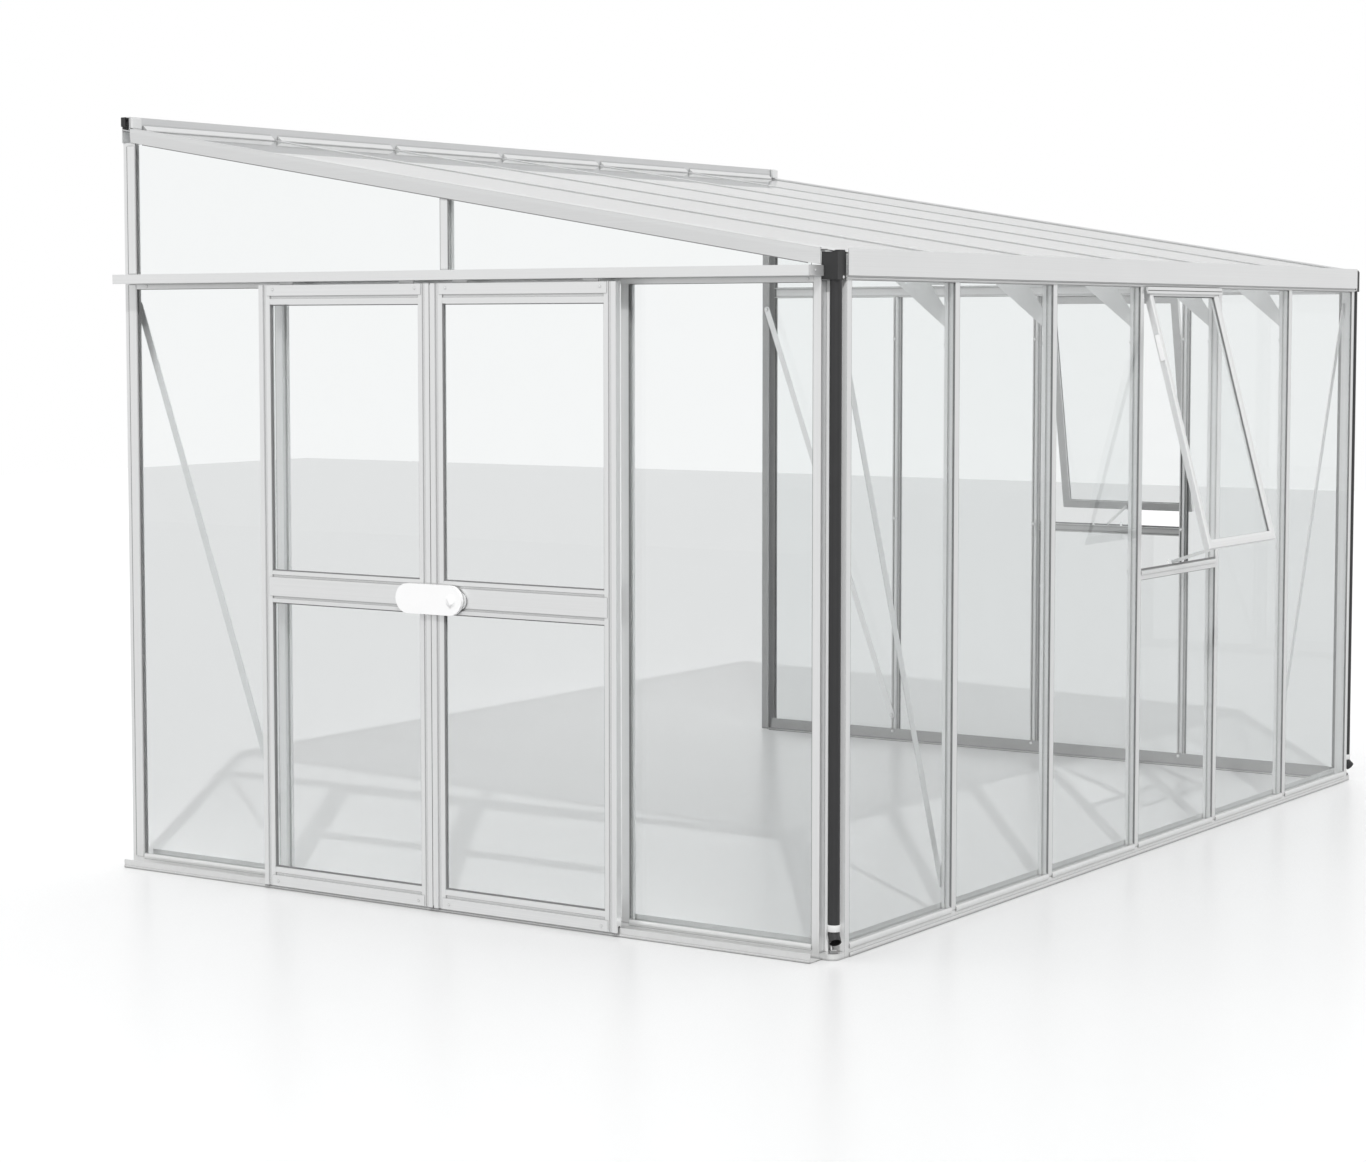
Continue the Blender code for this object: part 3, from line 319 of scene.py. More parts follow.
def floor_glow(tree):
    """How much the floor glows for the camera, directly or through a pane, with painted shade near the
    building.
    """
    path = add_node(tree, "ShaderNodeLightPath")
    sky = add_node(tree, "ShaderNodeAmbientOcclusion", samples=4)
    sky.inputs["Distance"].default_value = FLOOR_REACH
    painted_sill_shade = calculate(tree, "MULTIPLY", calculate(tree, "SUBTRACT", 1.0, sky.outputs["AO"]), FLOOR_SHADE)
    open_glow = calculate(tree, "MULTIPLY", calculate(tree, "SUBTRACT", 1.0, painted_sill_shade, clamp=True), FLOOR_GLOW)
    direct = calculate(tree, "MULTIPLY", path.outputs["Is Camera Ray"], open_glow)
    bounced = calculate(tree, "GREATER_THAN", path.outputs["Diffuse Depth"], 0.5)
    looked = calculate(tree, "MULTIPLY", path.outputs["Is Transmission Ray"],
                       calculate(tree, "SUBTRACT", 1.0, bounced))
    return calculate(tree, "ADD", direct, calculate(tree, "MULTIPLY", looked, FLOOR_BEHIND_PANES))


paint = floor_paint()
print("floor paint:", paint.name)

# %% Floor
FLOOR_X = (-13.75, 25.4)
FLOOR_Y = (-24.0, 24.0)
FLOOR_GAP = 0.0005


def add_floor():
    """One wide rectangle, a hair under the sills."""
    mesh = bpy.data.meshes.new("studio_floor")
    left, right = FLOOR_X
    front, back = FLOOR_Y
    rim = ((left, front), (right, front), (right, back), (left, back))
    mesh.from_pydata([at(x, y, -FLOOR_GAP) for x, y in rim], [], [(0, 1, 2, 3)])
    floor = bpy.data.objects.new("studio_floor", mesh)
    bpy.context.scene.collection.objects.link(floor)
    mesh.materials.append(paint)
    floor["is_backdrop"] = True
    return floor


floor = add_floor()
print(floor.name, "from", FLOOR_X, FLOOR_Y)

# %% [markdown]
# ## Key light
# One soft sun stands behind the camera, nearly half-way up the sky. It throws the shadows of the door
# gable and of the roof bars on the floor of the room. The sun's disc is small, as on a clear day, so
# the shadows have crisp edges, and the even sky fills them.

# %% Key light
KEY_COMPASS = math.radians(34.3)
KEY_HEIGHT = math.radians(43.6)
KEY_STRENGTH = 1.75
KEY_WIDTH = math.radians(1.0)
KEY_AWAY = 6.0


def add_key_light():
    data = bpy.data.lights.new("key_light", "SUN")
    data.energy = KEY_STRENGTH
    data.angle = KEY_WIDTH
    lamp = bpy.data.objects.new("key_light", data)
    level = math.cos(KEY_HEIGHT)
    travel = Vector((math.cos(KEY_COMPASS) * level, math.sin(KEY_COMPASS) * level,
                     -math.sin(KEY_HEIGHT)))
    lamp.location = at(0, 0, KEY_AWAY) - travel * KEY_AWAY
    lamp.rotation_mode = "QUATERNION"
    lamp.rotation_quaternion = travel.to_track_quat("-Z", "Y")
    bpy.context.scene.collection.objects.link(lamp)
    return lamp


key_light = add_key_light()
print("key light", key_light.data.energy)

# %% [markdown]
# ## Drawn aluminium
# The bars are pushed through a die, so their faces carry fine lines along the length, and handling
# leaves them a little cloudy. One node group makes both from noise: the lines come from noise that
# is stretched along the piece, the clouds from slow noise. Each material says along which axis its
# pieces were drawn. The lines change the colour, the gloss and, through a Bump node, the surface.

# %% Drawn lines group
def build_drawn_lines():
    tree, inside, outside = new_group(
        "drawn_lines",
        [("Place", "NodeSocketVector", (0, 0, 0)), ("Stretch", "NodeSocketVector", (260, 260, 1)),
         ("Cloud Size", "NodeSocketFloat", 2.5)],
        [("Lines", "NodeSocketFloat"), ("Clouds", "NodeSocketFloat")])
    stretched = add_node(tree, "ShaderNodeVectorMath", operation="MULTIPLY")
    feed(tree, stretched.inputs[0], inside.outputs["Place"])
    feed(tree, stretched.inputs[1], inside.outputs["Stretch"])
    lines = add_node(tree, "ShaderNodeTexNoise")
    lines.inputs["Scale"].default_value = 1.0
    lines.inputs["Detail"].default_value = 3.0
    feed(tree, lines.inputs["Vector"], stretched.outputs[0])
    clouds = add_node(tree, "ShaderNodeTexNoise")
    clouds.inputs["Detail"].default_value = 4.0
    clouds.inputs["Roughness"].default_value = 0.6
    feed(tree, clouds.inputs["Scale"], inside.outputs["Cloud Size"])
    feed(tree, clouds.inputs["Vector"], inside.outputs["Place"])
    feed(tree, outside.inputs["Lines"], lines.outputs["Fac"])
    feed(tree, outside.inputs["Clouds"], clouds.outputs["Fac"])
    return tree


drawn_lines = build_drawn_lines()
print("group:", drawn_lines.name)

# %% [markdown]
# ## Dust and groove shade
# Rain splashes dust up on the foot of the bars. Height above the floor gives a fading mask, and fine
# noise breaks it into speckles. Grooves and inner corners get little light. An Ambient Occlusion node
# with a reach of a few millimetres finds them, and the colour is darkened there as painted shade, so
# the thin dark lines between a bar, its cap and the pane need no drawing by hand.

# %% Ground dust group
def build_ground_dust():
    """Dust that the rain splashes up, strongest at the foot; a mask from 0 to 1."""
    tree, inside, outside = new_group(
        "ground_dust",
        [("Place", "NodeSocketVector", (0, 0, 0)), ("Height", "NodeSocketFloat", 0.10)],
        [("Dust", "NodeSocketFloat")])
    split = add_node(tree, "ShaderNodeSeparateXYZ")
    feed(tree, split.inputs[0], inside.outputs["Place"])
    share = calculate(tree, "DIVIDE", split.outputs["Z"], inside.outputs["Height"])
    fade = calculate(tree, "SUBTRACT", 1.0, share, clamp=True)
    speckle = add_node(tree, "ShaderNodeTexNoise")
    speckle.inputs["Scale"].default_value = 60.0
    speckle.inputs["Detail"].default_value = 5.0
    feed(tree, speckle.inputs["Vector"], inside.outputs["Place"])
    dust = calculate(tree, "MULTIPLY", fade, speckle.outputs["Fac"])
    feed(tree, outside.inputs["Dust"], dust)
    return tree


ground_dust = build_ground_dust()
print("group:", ground_dust.name)

# %% Groove shade group
def build_groove_shade():
    """Painted shade: darker where a groove or an inner corner gets little light; 1 on open faces."""
    tree, inside, outside = new_group(
        "groove_shade",
        [("Reach", "NodeSocketFloat", 0.009), ("Darkest", "NodeSocketFloat", 0.16)],
        [("Shade", "NodeSocketFloat")])
    hollow = add_node(tree, "ShaderNodeAmbientOcclusion", samples=4)
    feed(tree, hollow.inputs["Distance"], inside.outputs["Reach"])
    spread = calculate(tree, "SUBTRACT", 1.0, inside.outputs["Darkest"])
    open_share = calculate(tree, "POWER", hollow.outputs["AO"], 1.7)
    lit = calculate(tree, "MULTIPLY", open_share, spread)
    feed(tree, outside.inputs["Shade"], calculate(tree, "ADD", lit, inside.outputs["Darkest"]))
    return tree


groove_shade = build_groove_shade()
print("group:", groove_shade.name)

# %% [markdown]
# ## Mill finish
# Mill finish is aluminium as it leaves the press: pale, a little cloudy, and between a mirror and a
# matt paint. So the shader is only partly metallic. The lines make the base colour lighter and
# darker, the clouds change colour and gloss, and dust greys the foot. Grooves get painted shade, and
# faces that look into the room can get painted shade too, which a later step uses.

# %% Mill finish
ALUMINIUM = (0.835, 0.84, 0.84)
METAL_SHARE = 0.62
LINE_COUNT = 260.0
LINE_RELIEF = (0.12, 0.0004)
DUST_COLOUR = (0.56, 0.55, 0.53)
STRETCHES = {
    "upright": (LINE_COUNT, LINE_COUNT, 0.8),
    "along": (0.8, LINE_COUNT, LINE_COUNT),
    "across": (LINE_COUNT, 0.8, LINE_COUNT),
}


def shaded(tree, colour, darkest=0.32, room=None, dull=1.0):
    """A colour with painted shade in the grooves, and painted shade on faces that look towards the room."""
    shade = place_group(tree, groove_shade, Darkest=darkest)
    grooved = blend_colours(tree, 1.0, colour, shade.outputs["Shade"], "MULTIPLY")
    if room is None:
        return grooved
    # Faces that look into the room get painted shade here.
    facing = add_node(tree, "ShaderNodeVectorMath", operation="DOT_PRODUCT")
    feed(tree, facing.inputs[0], add_node(tree, "ShaderNodeNewGeometry").outputs["True Normal"])
    feed(tree, facing.inputs[1], tuple(room))
    inner = calculate(tree, "MULTIPLY", facing.outputs["Value"], 1.0, clamp=True)
    dimming = blend_colours(tree, inner, (1, 1, 1, 1), (dull, dull, dull, 1))
    return blend_colours(tree, 1.0, grooved, dimming, "MULTIPLY")


def aluminium(name, stretch, colour=ALUMINIUM, metallic=METAL_SHARE, roughness=0.36, **faces):
    """Mill-finish aluminium, with its drawn lines along one axis."""
    material, tree, shader, place = new_material(name)
    marks = place_group(tree, drawn_lines, Place=place, Stretch=stretch)
    dust = place_group(tree, ground_dust, Place=place)
    metal = blend_colours(tree, marks.outputs["Lines"], tone(colour, 0.93), tone(colour, 1.05))
    patch = calculate(tree, "MULTIPLY", marks.outputs["Clouds"], 0.5)
    handled = blend_colours(tree, patch, metal, tone(colour, 0.90))
    dusty = calculate(tree, "MULTIPLY", dust.outputs["Dust"], 0.35)
    worn = blend_colours(tree, dusty, handled, tone(DUST_COLOUR))
    # The base colour carries the painted groove shade, and painted room-side shade where asked.
    feed(tree, shader.inputs["Base Color"], shaded(tree, worn, **faces))
    gloss = calculate(tree, "MULTIPLY", marks.outputs["Clouds"], 0.14)
    feed(tree, shader.inputs["Roughness"], calculate(tree, "ADD", gloss, roughness - 0.07))
    shader.inputs["Metallic"].default_value = metallic
    add_bump(tree, shader, marks.outputs["Lines"], *LINE_RELIEF)
    return material


metals = {axis: aluminium(f"drawn_aluminium_{axis}", stretch) for axis, stretch in STRETCHES.items()}
print("aluminium:", sorted(metals))

# %% [markdown]
# ## Metal that stands apart
# Roof and eaves face the sky, so their painted groove shade is lighter than the gables'. The verges and
# the wall bar are a shade greyer. The recess behind a rainwater pipe gets pale, nearly matt metal as
# painted light. Each is the same finish with its own colour and depth of painted groove shade.

# %% Metal for roof, eaves and recess
VERGE_GREY = (0.76, 0.765, 0.765)
WALL_BAR_GREY = (0.715, 0.72, 0.725)
# The recess's pale colour is painted light on the shaded sides beside the pipe.
RECESS_PAINTED_LIGHT, RECESS_METAL = (0.88, 0.885, 0.885), 0.15
metals["roof"] = aluminium("drawn_aluminium_roof", STRETCHES["across"], darkest=0.86)
metals["verge"] = aluminium("drawn_aluminium_verge", STRETCHES["across"], VERGE_GREY, darkest=0.72)
metals["eave"] = aluminium("drawn_aluminium_eave", STRETCHES["along"], darkest=0.56)
metals["wall_bar"] = aluminium("drawn_aluminium_wall_bar", STRETCHES["along"], WALL_BAR_GREY, darkest=0.52)
metals["recess"] = aluminium("recess_aluminium_painted_light", STRETCHES["upright"], RECESS_PAINTED_LIGHT, RECESS_METAL,
                             darkest=0.92)
print("aluminium:", sorted(metals))

# %% [markdown]
# ## Finish on the frame
# Each section gets the aluminium whose lines run along it. A narrow bevel breaks its edges, because
# a drawn edge is never razor sharp, and a thin line of light along each edge is what makes metal
# read as metal. The bevel is a modifier, so the section itself stays as the CAD made it.

# %% Dress the straight sections
UPRIGHT = ["corner_post_near", "corner_post_far", "wall_post_near", "wall_post_far", "near_bar_1",
           "near_bar_3", "near_upper_bar", "far_upper_bar", "near_brace", "far_brace",
           "front_brace_near", "front_brace_far", "front_window_stay", "far_window_stay"]
UPRIGHT += [f"front_bar_{i}" for i in range(1, 6)] + [f"far_bar_{i}" for i in range(1, 4)]
ALONG = ["sill_front", "front_window_cill"]
ACROSS = ["sill_near", "sill_far", "near_transom", "far_transom", "door_track", "guide_rail",
          "far_window_cill"]
ROOF = [f"roof_bar_{i}" for i in range(1, 6)]
VERGES = ["verge_near", "verge_far"]
SECTIONS = {"upright": UPRIGHT, "along": ALONG, "across": ACROSS, "roof": ROOF, "verge": VERGES,
            "eave": ["eave_beam"], "wall_bar": ["wall_bar"]}


def dress(name, material, edge=0.0006):
    """Put a material on a node of the frame and break its edges."""
    node = nodes[name]
    node.data.materials.clear()
    node.data.materials.append(material)
    if edge:
        soften(node, edge)
    return node


def soften(obj, edge, turns=2):
    """Break the sharp edges with a narrow bevel."""
    bevel = obj.modifiers.new("broken_edge", "BEVEL")
    bevel.width = edge
    bevel.segments = turns
    bevel.limit_method = "ANGLE"
    bevel.angle_limit = math.radians(28.0)
    bevel.harden_normals = False
    return obj


for finish, names in SECTIONS.items():
    for name in names:
        dress(name, metals[finish])
print("dressed", sum(len(names) for names in SECTIONS.values()), "sections")

# %% [markdown]
# ## The room side
# The faces that look into the room never see the open sky, so they lie in shade, painted into their
# colour. The sills, the rear posts, the transoms, the cills and the far bars get a second material. It
# compares a face's normal with the direction into the room, and paints shade only where the two agree.

# %% Painted shade on the room side
ROOM_SIDES = {"near": X, "far": -X, "front": Y}
# How much painted shade darkens the room side of sills, cills and bars.
ROOM_SHADE_SILL, ROOM_SHADE_CILL, ROOM_SHADE_BAR = 0.42, 0.60, 0.84
dulled = []


def dull_room_side(name, axis, which, dull):
    """Give a section its own metal, with painted shade on the side that looks into the room."""
    metal = aluminium(f"dulled_aluminium_{name}", STRETCHES[axis], room=ROOM_SIDES[which], dull=dull)
    nodes[name].data.materials[0] = metal
    dulled.append(name)


for which in ("near", "far"):
    dull_room_side(f"sill_{which}", "across", which, ROOM_SHADE_SILL)
    dull_room_side(f"wall_post_{which}", "upright", which, ROOM_SHADE_SILL)
    dull_room_side(f"{which}_transom", "across", which, ROOM_SHADE_BAR)
dull_room_side("sill_front", "along", "front", ROOM_SHADE_SILL)
dull_room_side("front_window_cill", "along", "front", ROOM_SHADE_CILL)
dull_room_side("far_window_cill", "across", "far", ROOM_SHADE_CILL)
for index in (1, 2, 3):
    dull_room_side(f"far_bar_{index}", "upright", "far", ROOM_SHADE_BAR)
print("dulled the room side of", len(dulled), "sections")

# %% [markdown]
# ## Leaves and casements
# In a door leaf the stiles stand and the rails lie, and one solid holds both. The material finds
# out which is which from the place: within a stile's width of the leaf's two sides the lines run
# upright, and elsewhere they run across. A casement is mitred, so there the change lies on a
# diagonal, which comes from comparing the distance to the side with the distance to the end.

# %% Where a frame's sides stand
STILE = 0.050


def standing_mask(tree, place, node, side_axis, mitred):
    """1 on the standing sides of a frame, 0 on its lying ends."""
    low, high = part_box(node)
    split = add_node(tree, "ShaderNodeSeparateXYZ")
    feed(tree, split.inputs[0], place)
    reach = "XYZ".index(side_axis)
    centre = (low[reach] + high[reach]) / 2
    half = (high[reach] - low[reach]) / 2
    off = calculate(tree, "ABSOLUTE", calculate(tree, "SUBTRACT", split.outputs[side_axis], centre))
    from_side = calculate(tree, "SUBTRACT", half, off)
    if mitred:
        tall = (high.z - low.z) / 2
        rise = calculate(tree, "SUBTRACT", split.outputs["Z"], (low.z + high.z) / 2)
        from_end = calculate(tree, "SUBTRACT", tall, calculate(tree, "ABSOLUTE", rise))
        return calculate(tree, "LESS_THAN", from_side, from_end)
    return calculate(tree, "LESS_THAN", from_side, STILE)


print("a leaf's sides are", STILE, "wide")

# %% Leaf and casement materials
def framed_aluminium(name, node, side_axis, depth_stretch, mitred, **faces):
    """Aluminium for a frame whose sides stand and whose ends lie."""
    material, tree, shader, place = new_material(name)
    standing = standing_mask(tree, place, node, side_axis, mitred)
    upright = place_group(tree, drawn_lines, Place=place, Stretch=STRETCHES["upright"])
    lying = place_group(tree, drawn_lines, Place=place, Stretch=depth_stretch)
    lines = calculate(tree, "MULTIPLY", upright.outputs["Lines"], standing)
    other = calculate(tree, "MULTIPLY", lying.outputs["Lines"], calculate(tree, "SUBTRACT", 1.0, standing))
    lines = calculate(tree, "ADD", lines, other)
    metal = blend_colours(tree, lines, tone(ALUMINIUM, 0.93), tone(ALUMINIUM, 1.06))
    patch = calculate(tree, "MULTIPLY", upright.outputs["Clouds"], 0.4)
    handled = blend_colours(tree, patch, metal, tone(ALUMINIUM, 0.91))
    # The base colour carries the painted groove shade, and painted room-side shade where asked.
    feed(tree, shader.inputs["Base Color"], shaded(tree, handled, **faces))
    gloss = calculate(tree, "MULTIPLY", upright.outputs["Clouds"], 0.12)
    feed(tree, shader.inputs["Roughness"], calculate(tree, "ADD", gloss, 0.29))
    shader.inputs["Metallic"].default_value = METAL_SHARE
    add_bump(tree, shader, lines, *LINE_RELIEF)
    return material


for name in ("wall_side_door_frame", "corner_side_door_frame"):
    metal = framed_aluminium(f"leaf_aluminium_{name}", name, "Y", STRETCHES["across"], False)
    dress(name, metal, edge=0.0005)
for which, side, axis in (("front", "X", "along"), ("far", "Y", "across")):
    name = f"{which}_window_frame"
    # The casements get painted shade in their grooves and on the side that looks into the room.
    metal = framed_aluminium(f"casement_aluminium_{name}", name, side, STRETCHES[axis], True,
                             darkest=0.60, room=ROOM_SIDES[which], dull=ROOM_SHADE_CILL)
    dress(name, metal, edge=0.0010)
print("dressed the leaves and casements")

# %% [markdown]
# ## Glass
# The panes are 3 mm float glass, clear with a trace of green. Each pane is a real slab, so light is
# bent and mirrored at both faces as in life. Slow noise gives a faint waviness, which moves the
# mirrored horizon a little from pane to pane. In a shadow the pane is nearly clear, because a shader
# that lets light through would otherwise darken the room far more than real glass does. The roof's
# sheet keeps back more of the sun, so that the room stays a little darker than the open floor.

# %% Pane waves group
def build_pane_waves():
    tree, inside, outside = new_group(
        "pane_waves",
        [("Place", "NodeSocketVector", (0, 0, 0)), ("Size", "NodeSocketFloat", 1.4)],
        [("Waves", "NodeSocketFloat"), ("Film", "NodeSocketFloat")])
    waves = add_node(tree, "ShaderNodeTexNoise")
    waves.inputs["Detail"].default_value = 1.0
    feed(tree, waves.inputs["Scale"], inside.outputs["Size"])
    feed(tree, waves.inputs["Vector"], inside.outputs["Place"])
    film = add_node(tree, "ShaderNodeTexNoise")
    film.inputs["Scale"].default_value = 7.0
    film.inputs["Detail"].default_value = 5.0
    feed(tree, film.inputs["Vector"], inside.outputs["Place"])
    feed(tree, outside.inputs["Waves"], waves.outputs["Fac"])
    feed(tree, outside.inputs["Film"], film.outputs["Fac"])
    return tree


pane_waves = build_pane_waves()
print("group:", pane_waves.name)

# %% Glass material
GLASS_TINT = (0.925, 0.941, 0.941)
GLASS_SHADE = 0.18
ROOF_SHADE = 0.62


def glass(name, shade=GLASS_SHADE):
    """Clear glass with a faint film, light in its shadow."""
    material, tree, shader, place = new_material(name)
    waves = place_group(tree, pane_waves, Place=place)
    filmed = blend_colours(tree, waves.outputs["Film"], tone(GLASS_TINT), tone(GLASS_TINT, 0.985))
    feed(tree, shader.inputs["Base Color"], filmed)
    shader.inputs["Metallic"].default_value = 0.0
    shader.inputs["Roughness"].default_value = 0.0
    shader.inputs["IOR"].default_value = 1.5
    shader.inputs["Transmission Weight"].default_value = 1.0
    path = add_node(tree, "ShaderNodeLightPath")
    lifted = calculate(tree, "MULTIPLY", path.outputs["Is Shadow Ray"], 1.0 - shade)
    feed(tree, shader.inputs["Alpha"], calculate(tree, "SUBTRACT", 1.0, lifted))
    add_bump(tree, shader, waves.outputs["Waves"], 0.02, 0.004)
    return material


clear_glass = glass("clear_glass")
PANES = [name for name in nodes if name.endswith("_glass") or name.endswith("_pane")]
for name in PANES:
    dress(name, clear_glass, edge=0.0)
roof_sheet = glass("roof_glass", shade=ROOF_SHADE)
dress("roof_glass", roof_sheet, edge=0.0)
print("glazed", len(PANES), "panes:", sorted(PANES))

# %% [markdown]
# ## Plastics and rubber
# The rainwater pipes are moulded in black plastic and the lock in white. A moulded surface has a
# very fine, even grain, which one shared group gives. The seals are rubber, matt and dark grey.

# %% Moulded grain group
def build_moulded_grain():
    tree, inside, outside = new_group(
        "moulded_grain",
        [("Place", "NodeSocketVector", (0, 0, 0)), ("Count", "NodeSocketFloat", 900.0)],
        [("Grain", "NodeSocketFloat"), ("Handling", "NodeSocketFloat")])
    grain = add_node(tree, "ShaderNodeTexNoise")
    grain.inputs["Detail"].default_value = 2.0
    feed(tree, grain.inputs["Scale"], inside.outputs["Count"])
    feed(tree, grain.inputs["Vector"], inside.outputs["Place"])
    handling = add_node(tree, "ShaderNodeTexNoise")
    handling.inputs["Scale"].default_value = 14.0
    handling.inputs["Detail"].default_value = 4.0
    feed(tree, handling.inputs["Vector"], inside.outputs["Place"])
    feed(tree, outside.inputs["Grain"], grain.outputs["Fac"])
    feed(tree, outside.inputs["Handling"], handling.outputs["Fac"])
    return tree


moulded_grain = build_moulded_grain()
print("group:", moulded_grain.name)

# %% Moulded materials
def moulded(name, dark, light, roughness, strength=0.15):
    """A moulded surface between a dark and a light tone."""
    material, tree, shader, place = new_material(name)
    grain = place_group(tree, moulded_grain, Place=place)
    colour = blend_colours(tree, grain.outputs["Handling"], tone(dark), tone(light))
    feed(tree, shader.inputs["Base Color"], colour)
    spread = calculate(tree, "MULTIPLY", grain.outputs["Handling"], 0.16)
    feed(tree, shader.inputs["Roughness"], calculate(tree, "ADD", spread, roughness - 0.08))
    add_bump(tree, shader, grain.outputs["Grain"], strength, 0.0003)
    return material


black_plastic = moulded("black_pipe_plastic", (0.016, 0.016, 0.017), (0.026, 0.026, 0.027), 0.46)
white_plastic = moulded("white_lock_plastic", (0.92, 0.92, 0.92), (0.97, 0.97, 0.97), 0.32, 0.06)
rubber = moulded("seal_rubber", (0.20, 0.20, 0.202), (0.25, 0.25, 0.252), 0.62)
clip_plastic = moulded("pipe_clip_plastic", (0.70, 0.70, 0.70), (0.77, 0.77, 0.77), 0.40, 0.06)
for name in ("downpipe_near", "downpipe_far"):
    dress(name, black_plastic, edge=0.0)
dress("lock", white_plastic, edge=0.0022)
print("moulded:", black_plastic.name, white_plastic.name, clip_plastic.name, rubber.name)

# %% [markdown]
# ## Small pieces
# The seals, bolts, clips and strips are too fine for the frame, so they are made here. Most are one
# outline drawn along a line, or one outline turned about an axis. Both helpers add to a bmesh, so
# that all bolts of a side, for example, become one object that rides on its body.

# %% Outlines drawn or turned
def add_prism(shape, outline, base, across, inward, along, start, end):
    """Draw an outline of (across, inward) points from start to end along a line."""
    rings = []
    for stop in (start, end):
        rings.append([shape.verts.new(base + across * u + inward * v + along * stop) for u, v in outline])
    low, high = rings
    faces = [shape.faces.new(low), shape.faces.new(list(reversed(high)))]
    for i in range(len(outline)):
        j = (i + 1) % len(outline)
        faces.append(shape.faces.new((low[i], high[i], high[j], low[j])))
    bmesh.ops.recalc_face_normals(shape, faces=faces)
    return faces


def add_turning(shape, place, out, profile, sides=16):
    """Turn a profile of (radius, height) points about the line out of a face."""
    side = out.orthogonal().normalized()
    other = out.cross(side)
    angles = [2 * math.pi * k / sides for k in range(sides)]
    rings = []
    for radius, height in profile:
        ring = []
        for angle in angles:
            spot = place + out * height + side * (radius * math.cos(angle))
            ring.append(shape.verts.new(spot + other * (radius * math.sin(angle))))
        rings.append(ring)
    faces = [shape.faces.new(list(reversed(rings[0]))), shape.faces.new(rings[-1])]
    for low, high in zip(rings, rings[1:]):
        for k in range(sides):
            n = (k + 1) % sides
            faces.append(shape.faces.new((low[k], low[n], high[n], high[k])))
    bmesh.ops.recalc_face_normals(shape, faces=faces)
    return faces


print("outlines can be drawn along a line or turned about an axis")

# %% Finish a piece
def finish_piece(name, shape, material, body="greenhouse", edge=0.0, smooth=False):
    """Turn a bmesh into an object with its material, on the body that carries it."""
    mesh = bpy.data.meshes.new(name)
    shape.to_mesh(mesh)
    shape.free()
    mesh.materials.append(material)
    if smooth:
        mesh.shade_smooth()
        mesh.set_sharp_from_angle(angle=math.radians(35.0))
    obj = bpy.data.objects.new(name, mesh)
    bpy.context.scene.collection.objects.link(obj)
    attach(obj, body)
    if edge:
        soften(obj, edge)
    return obj


def rectangle(u0, u1, v0, v1):
    return [(u0, v0), (u1, v0), (u1, v1), (u0, v1)]


print("piece helpers ready")

# %% [markdown]
# ## Glazing seals
# Every pane lies between a rubber seal on its weather side, which peeps out beside the bar's cap,
# and one on the room side. Seen from outside they are the thin dark line that outlines each pane.
# A bay is given by its wall and the rectangle between the caps. One function lays the rubber just
# inside that rectangle, once in front of the glass and once behind it. The foot needs none, because
# a bead holds it.

# %% Bays and their seals
CAP_HALF = 0.015
BEAD_TOP = 0.0455
PANE_OUTER, PANE_INNER = 0.0033, 0.0063
TRANSOM_LOW, TRANSOM_HIGH = measured("near_transom")[0].z, measured("near_transom")[1].z
CORNER_FLANGE = 0.085
WALL_CAP = WIDTH - 0.056
CILL_LOW, CILL_HIGH = measured("front_window_cill")[0].z, measured("front_window_cill")[1].z


def add_ring(shape, wall, low_u, high_u, low_z, high_z, width, v0, v1, foot=True):
    """Strips just inside a rectangle on a wall: both sides, the head and, if asked, the foot."""
    base, across, inward, up = wall
    for z in (low_z, high_z - width) if foot else (high_z - width,):
        add_prism(shape, rectangle(z, z + width, v0, v1), base, up, inward, across, low_u, high_u)
    for u in (low_u, high_u - width):
        strip = rectangle(u, u + width, v0, v1)
        add_prism(shape, strip, base, across, inward, up, low_z + width, high_z - width)


def add_pane_seals(shape, wall, low_u, high_u, low_z, high_z):
    """Rubber just in front of a pane, and just behind it."""
    gap = 0.0002
    low_u, high_u, low_z, high_z = low_u + gap, high_u - gap, low_z + gap, high_z - gap
    add_ring(shape, wall, low_u, high_u, low_z, high_z, 0.0018, 0.0004, PANE_OUTER - 0.0001, foot=False)
    add_ring(shape, wall, low_u, high_u, low_z, high_z, 0.0016, PANE_INNER + 0.0001, 0.0088, foot=False)


def bays_between(first, bars, last):
    """The runs between the caps: first and last are edges, bars are axes."""
    lows = [first] + [bar + CAP_HALF for bar in bars]
    highs = [bar - CAP_HALF for bar in bars] + [last]
    return list(zip(lows, highs))


front_wall = (at(0, 0, 0), X, Y, Z)
near_wall = (at(0, 0, 0), Y, X, Z)
far_wall = (at(LENGTH, 0, 0), Y, -X, Z)
front_bays = bays_between(CORNER_FLANGE, FRONT_BARS, LENGTH - CORNER_FLANGE)
gable_bays = bays_between(CORNER_FLANGE, GABLE_BARS, WALL_CAP)
near_bays = (gable_bays[0], gable_bays[-1])
print("bays:", len(front_bays), "front,", len(gable_bays), "far,", len(near_bays), "beside the doors")

# %% Seals round the panes
FRONT_WINDOW_BAY, FAR_WINDOW_BAY = 3, 1
shape = bmesh.new()
for index, (low, high) in enumerate(front_bays):
    top = CILL_LOW if index == FRONT_WINDOW_BAY else EAVE
    add_pane_seals(shape, front_wall, low, high, BEAD_TOP, top)
finish_piece("front_seals", shape, rubber)
shape = bmesh.new()
for index, (low, high) in enumerate(gable_bays):
    top = CILL_LOW if index == FAR_WINDOW_BAY else TRANSOM_LOW
    add_pane_seals(shape, far_wall, low, high, BEAD_TOP, top)
finish_piece("far_seals", shape, rubber)
shape = bmesh.new()
for low, high in near_bays:
    add_pane_seals(shape, near_wall, low, high, BEAD_TOP, TRANSOM_LOW)
finish_piece("near_seals", shape, rubber)
print("seals round", len(front_bays) + len(gable_bays) + len(near_bays), "panes")

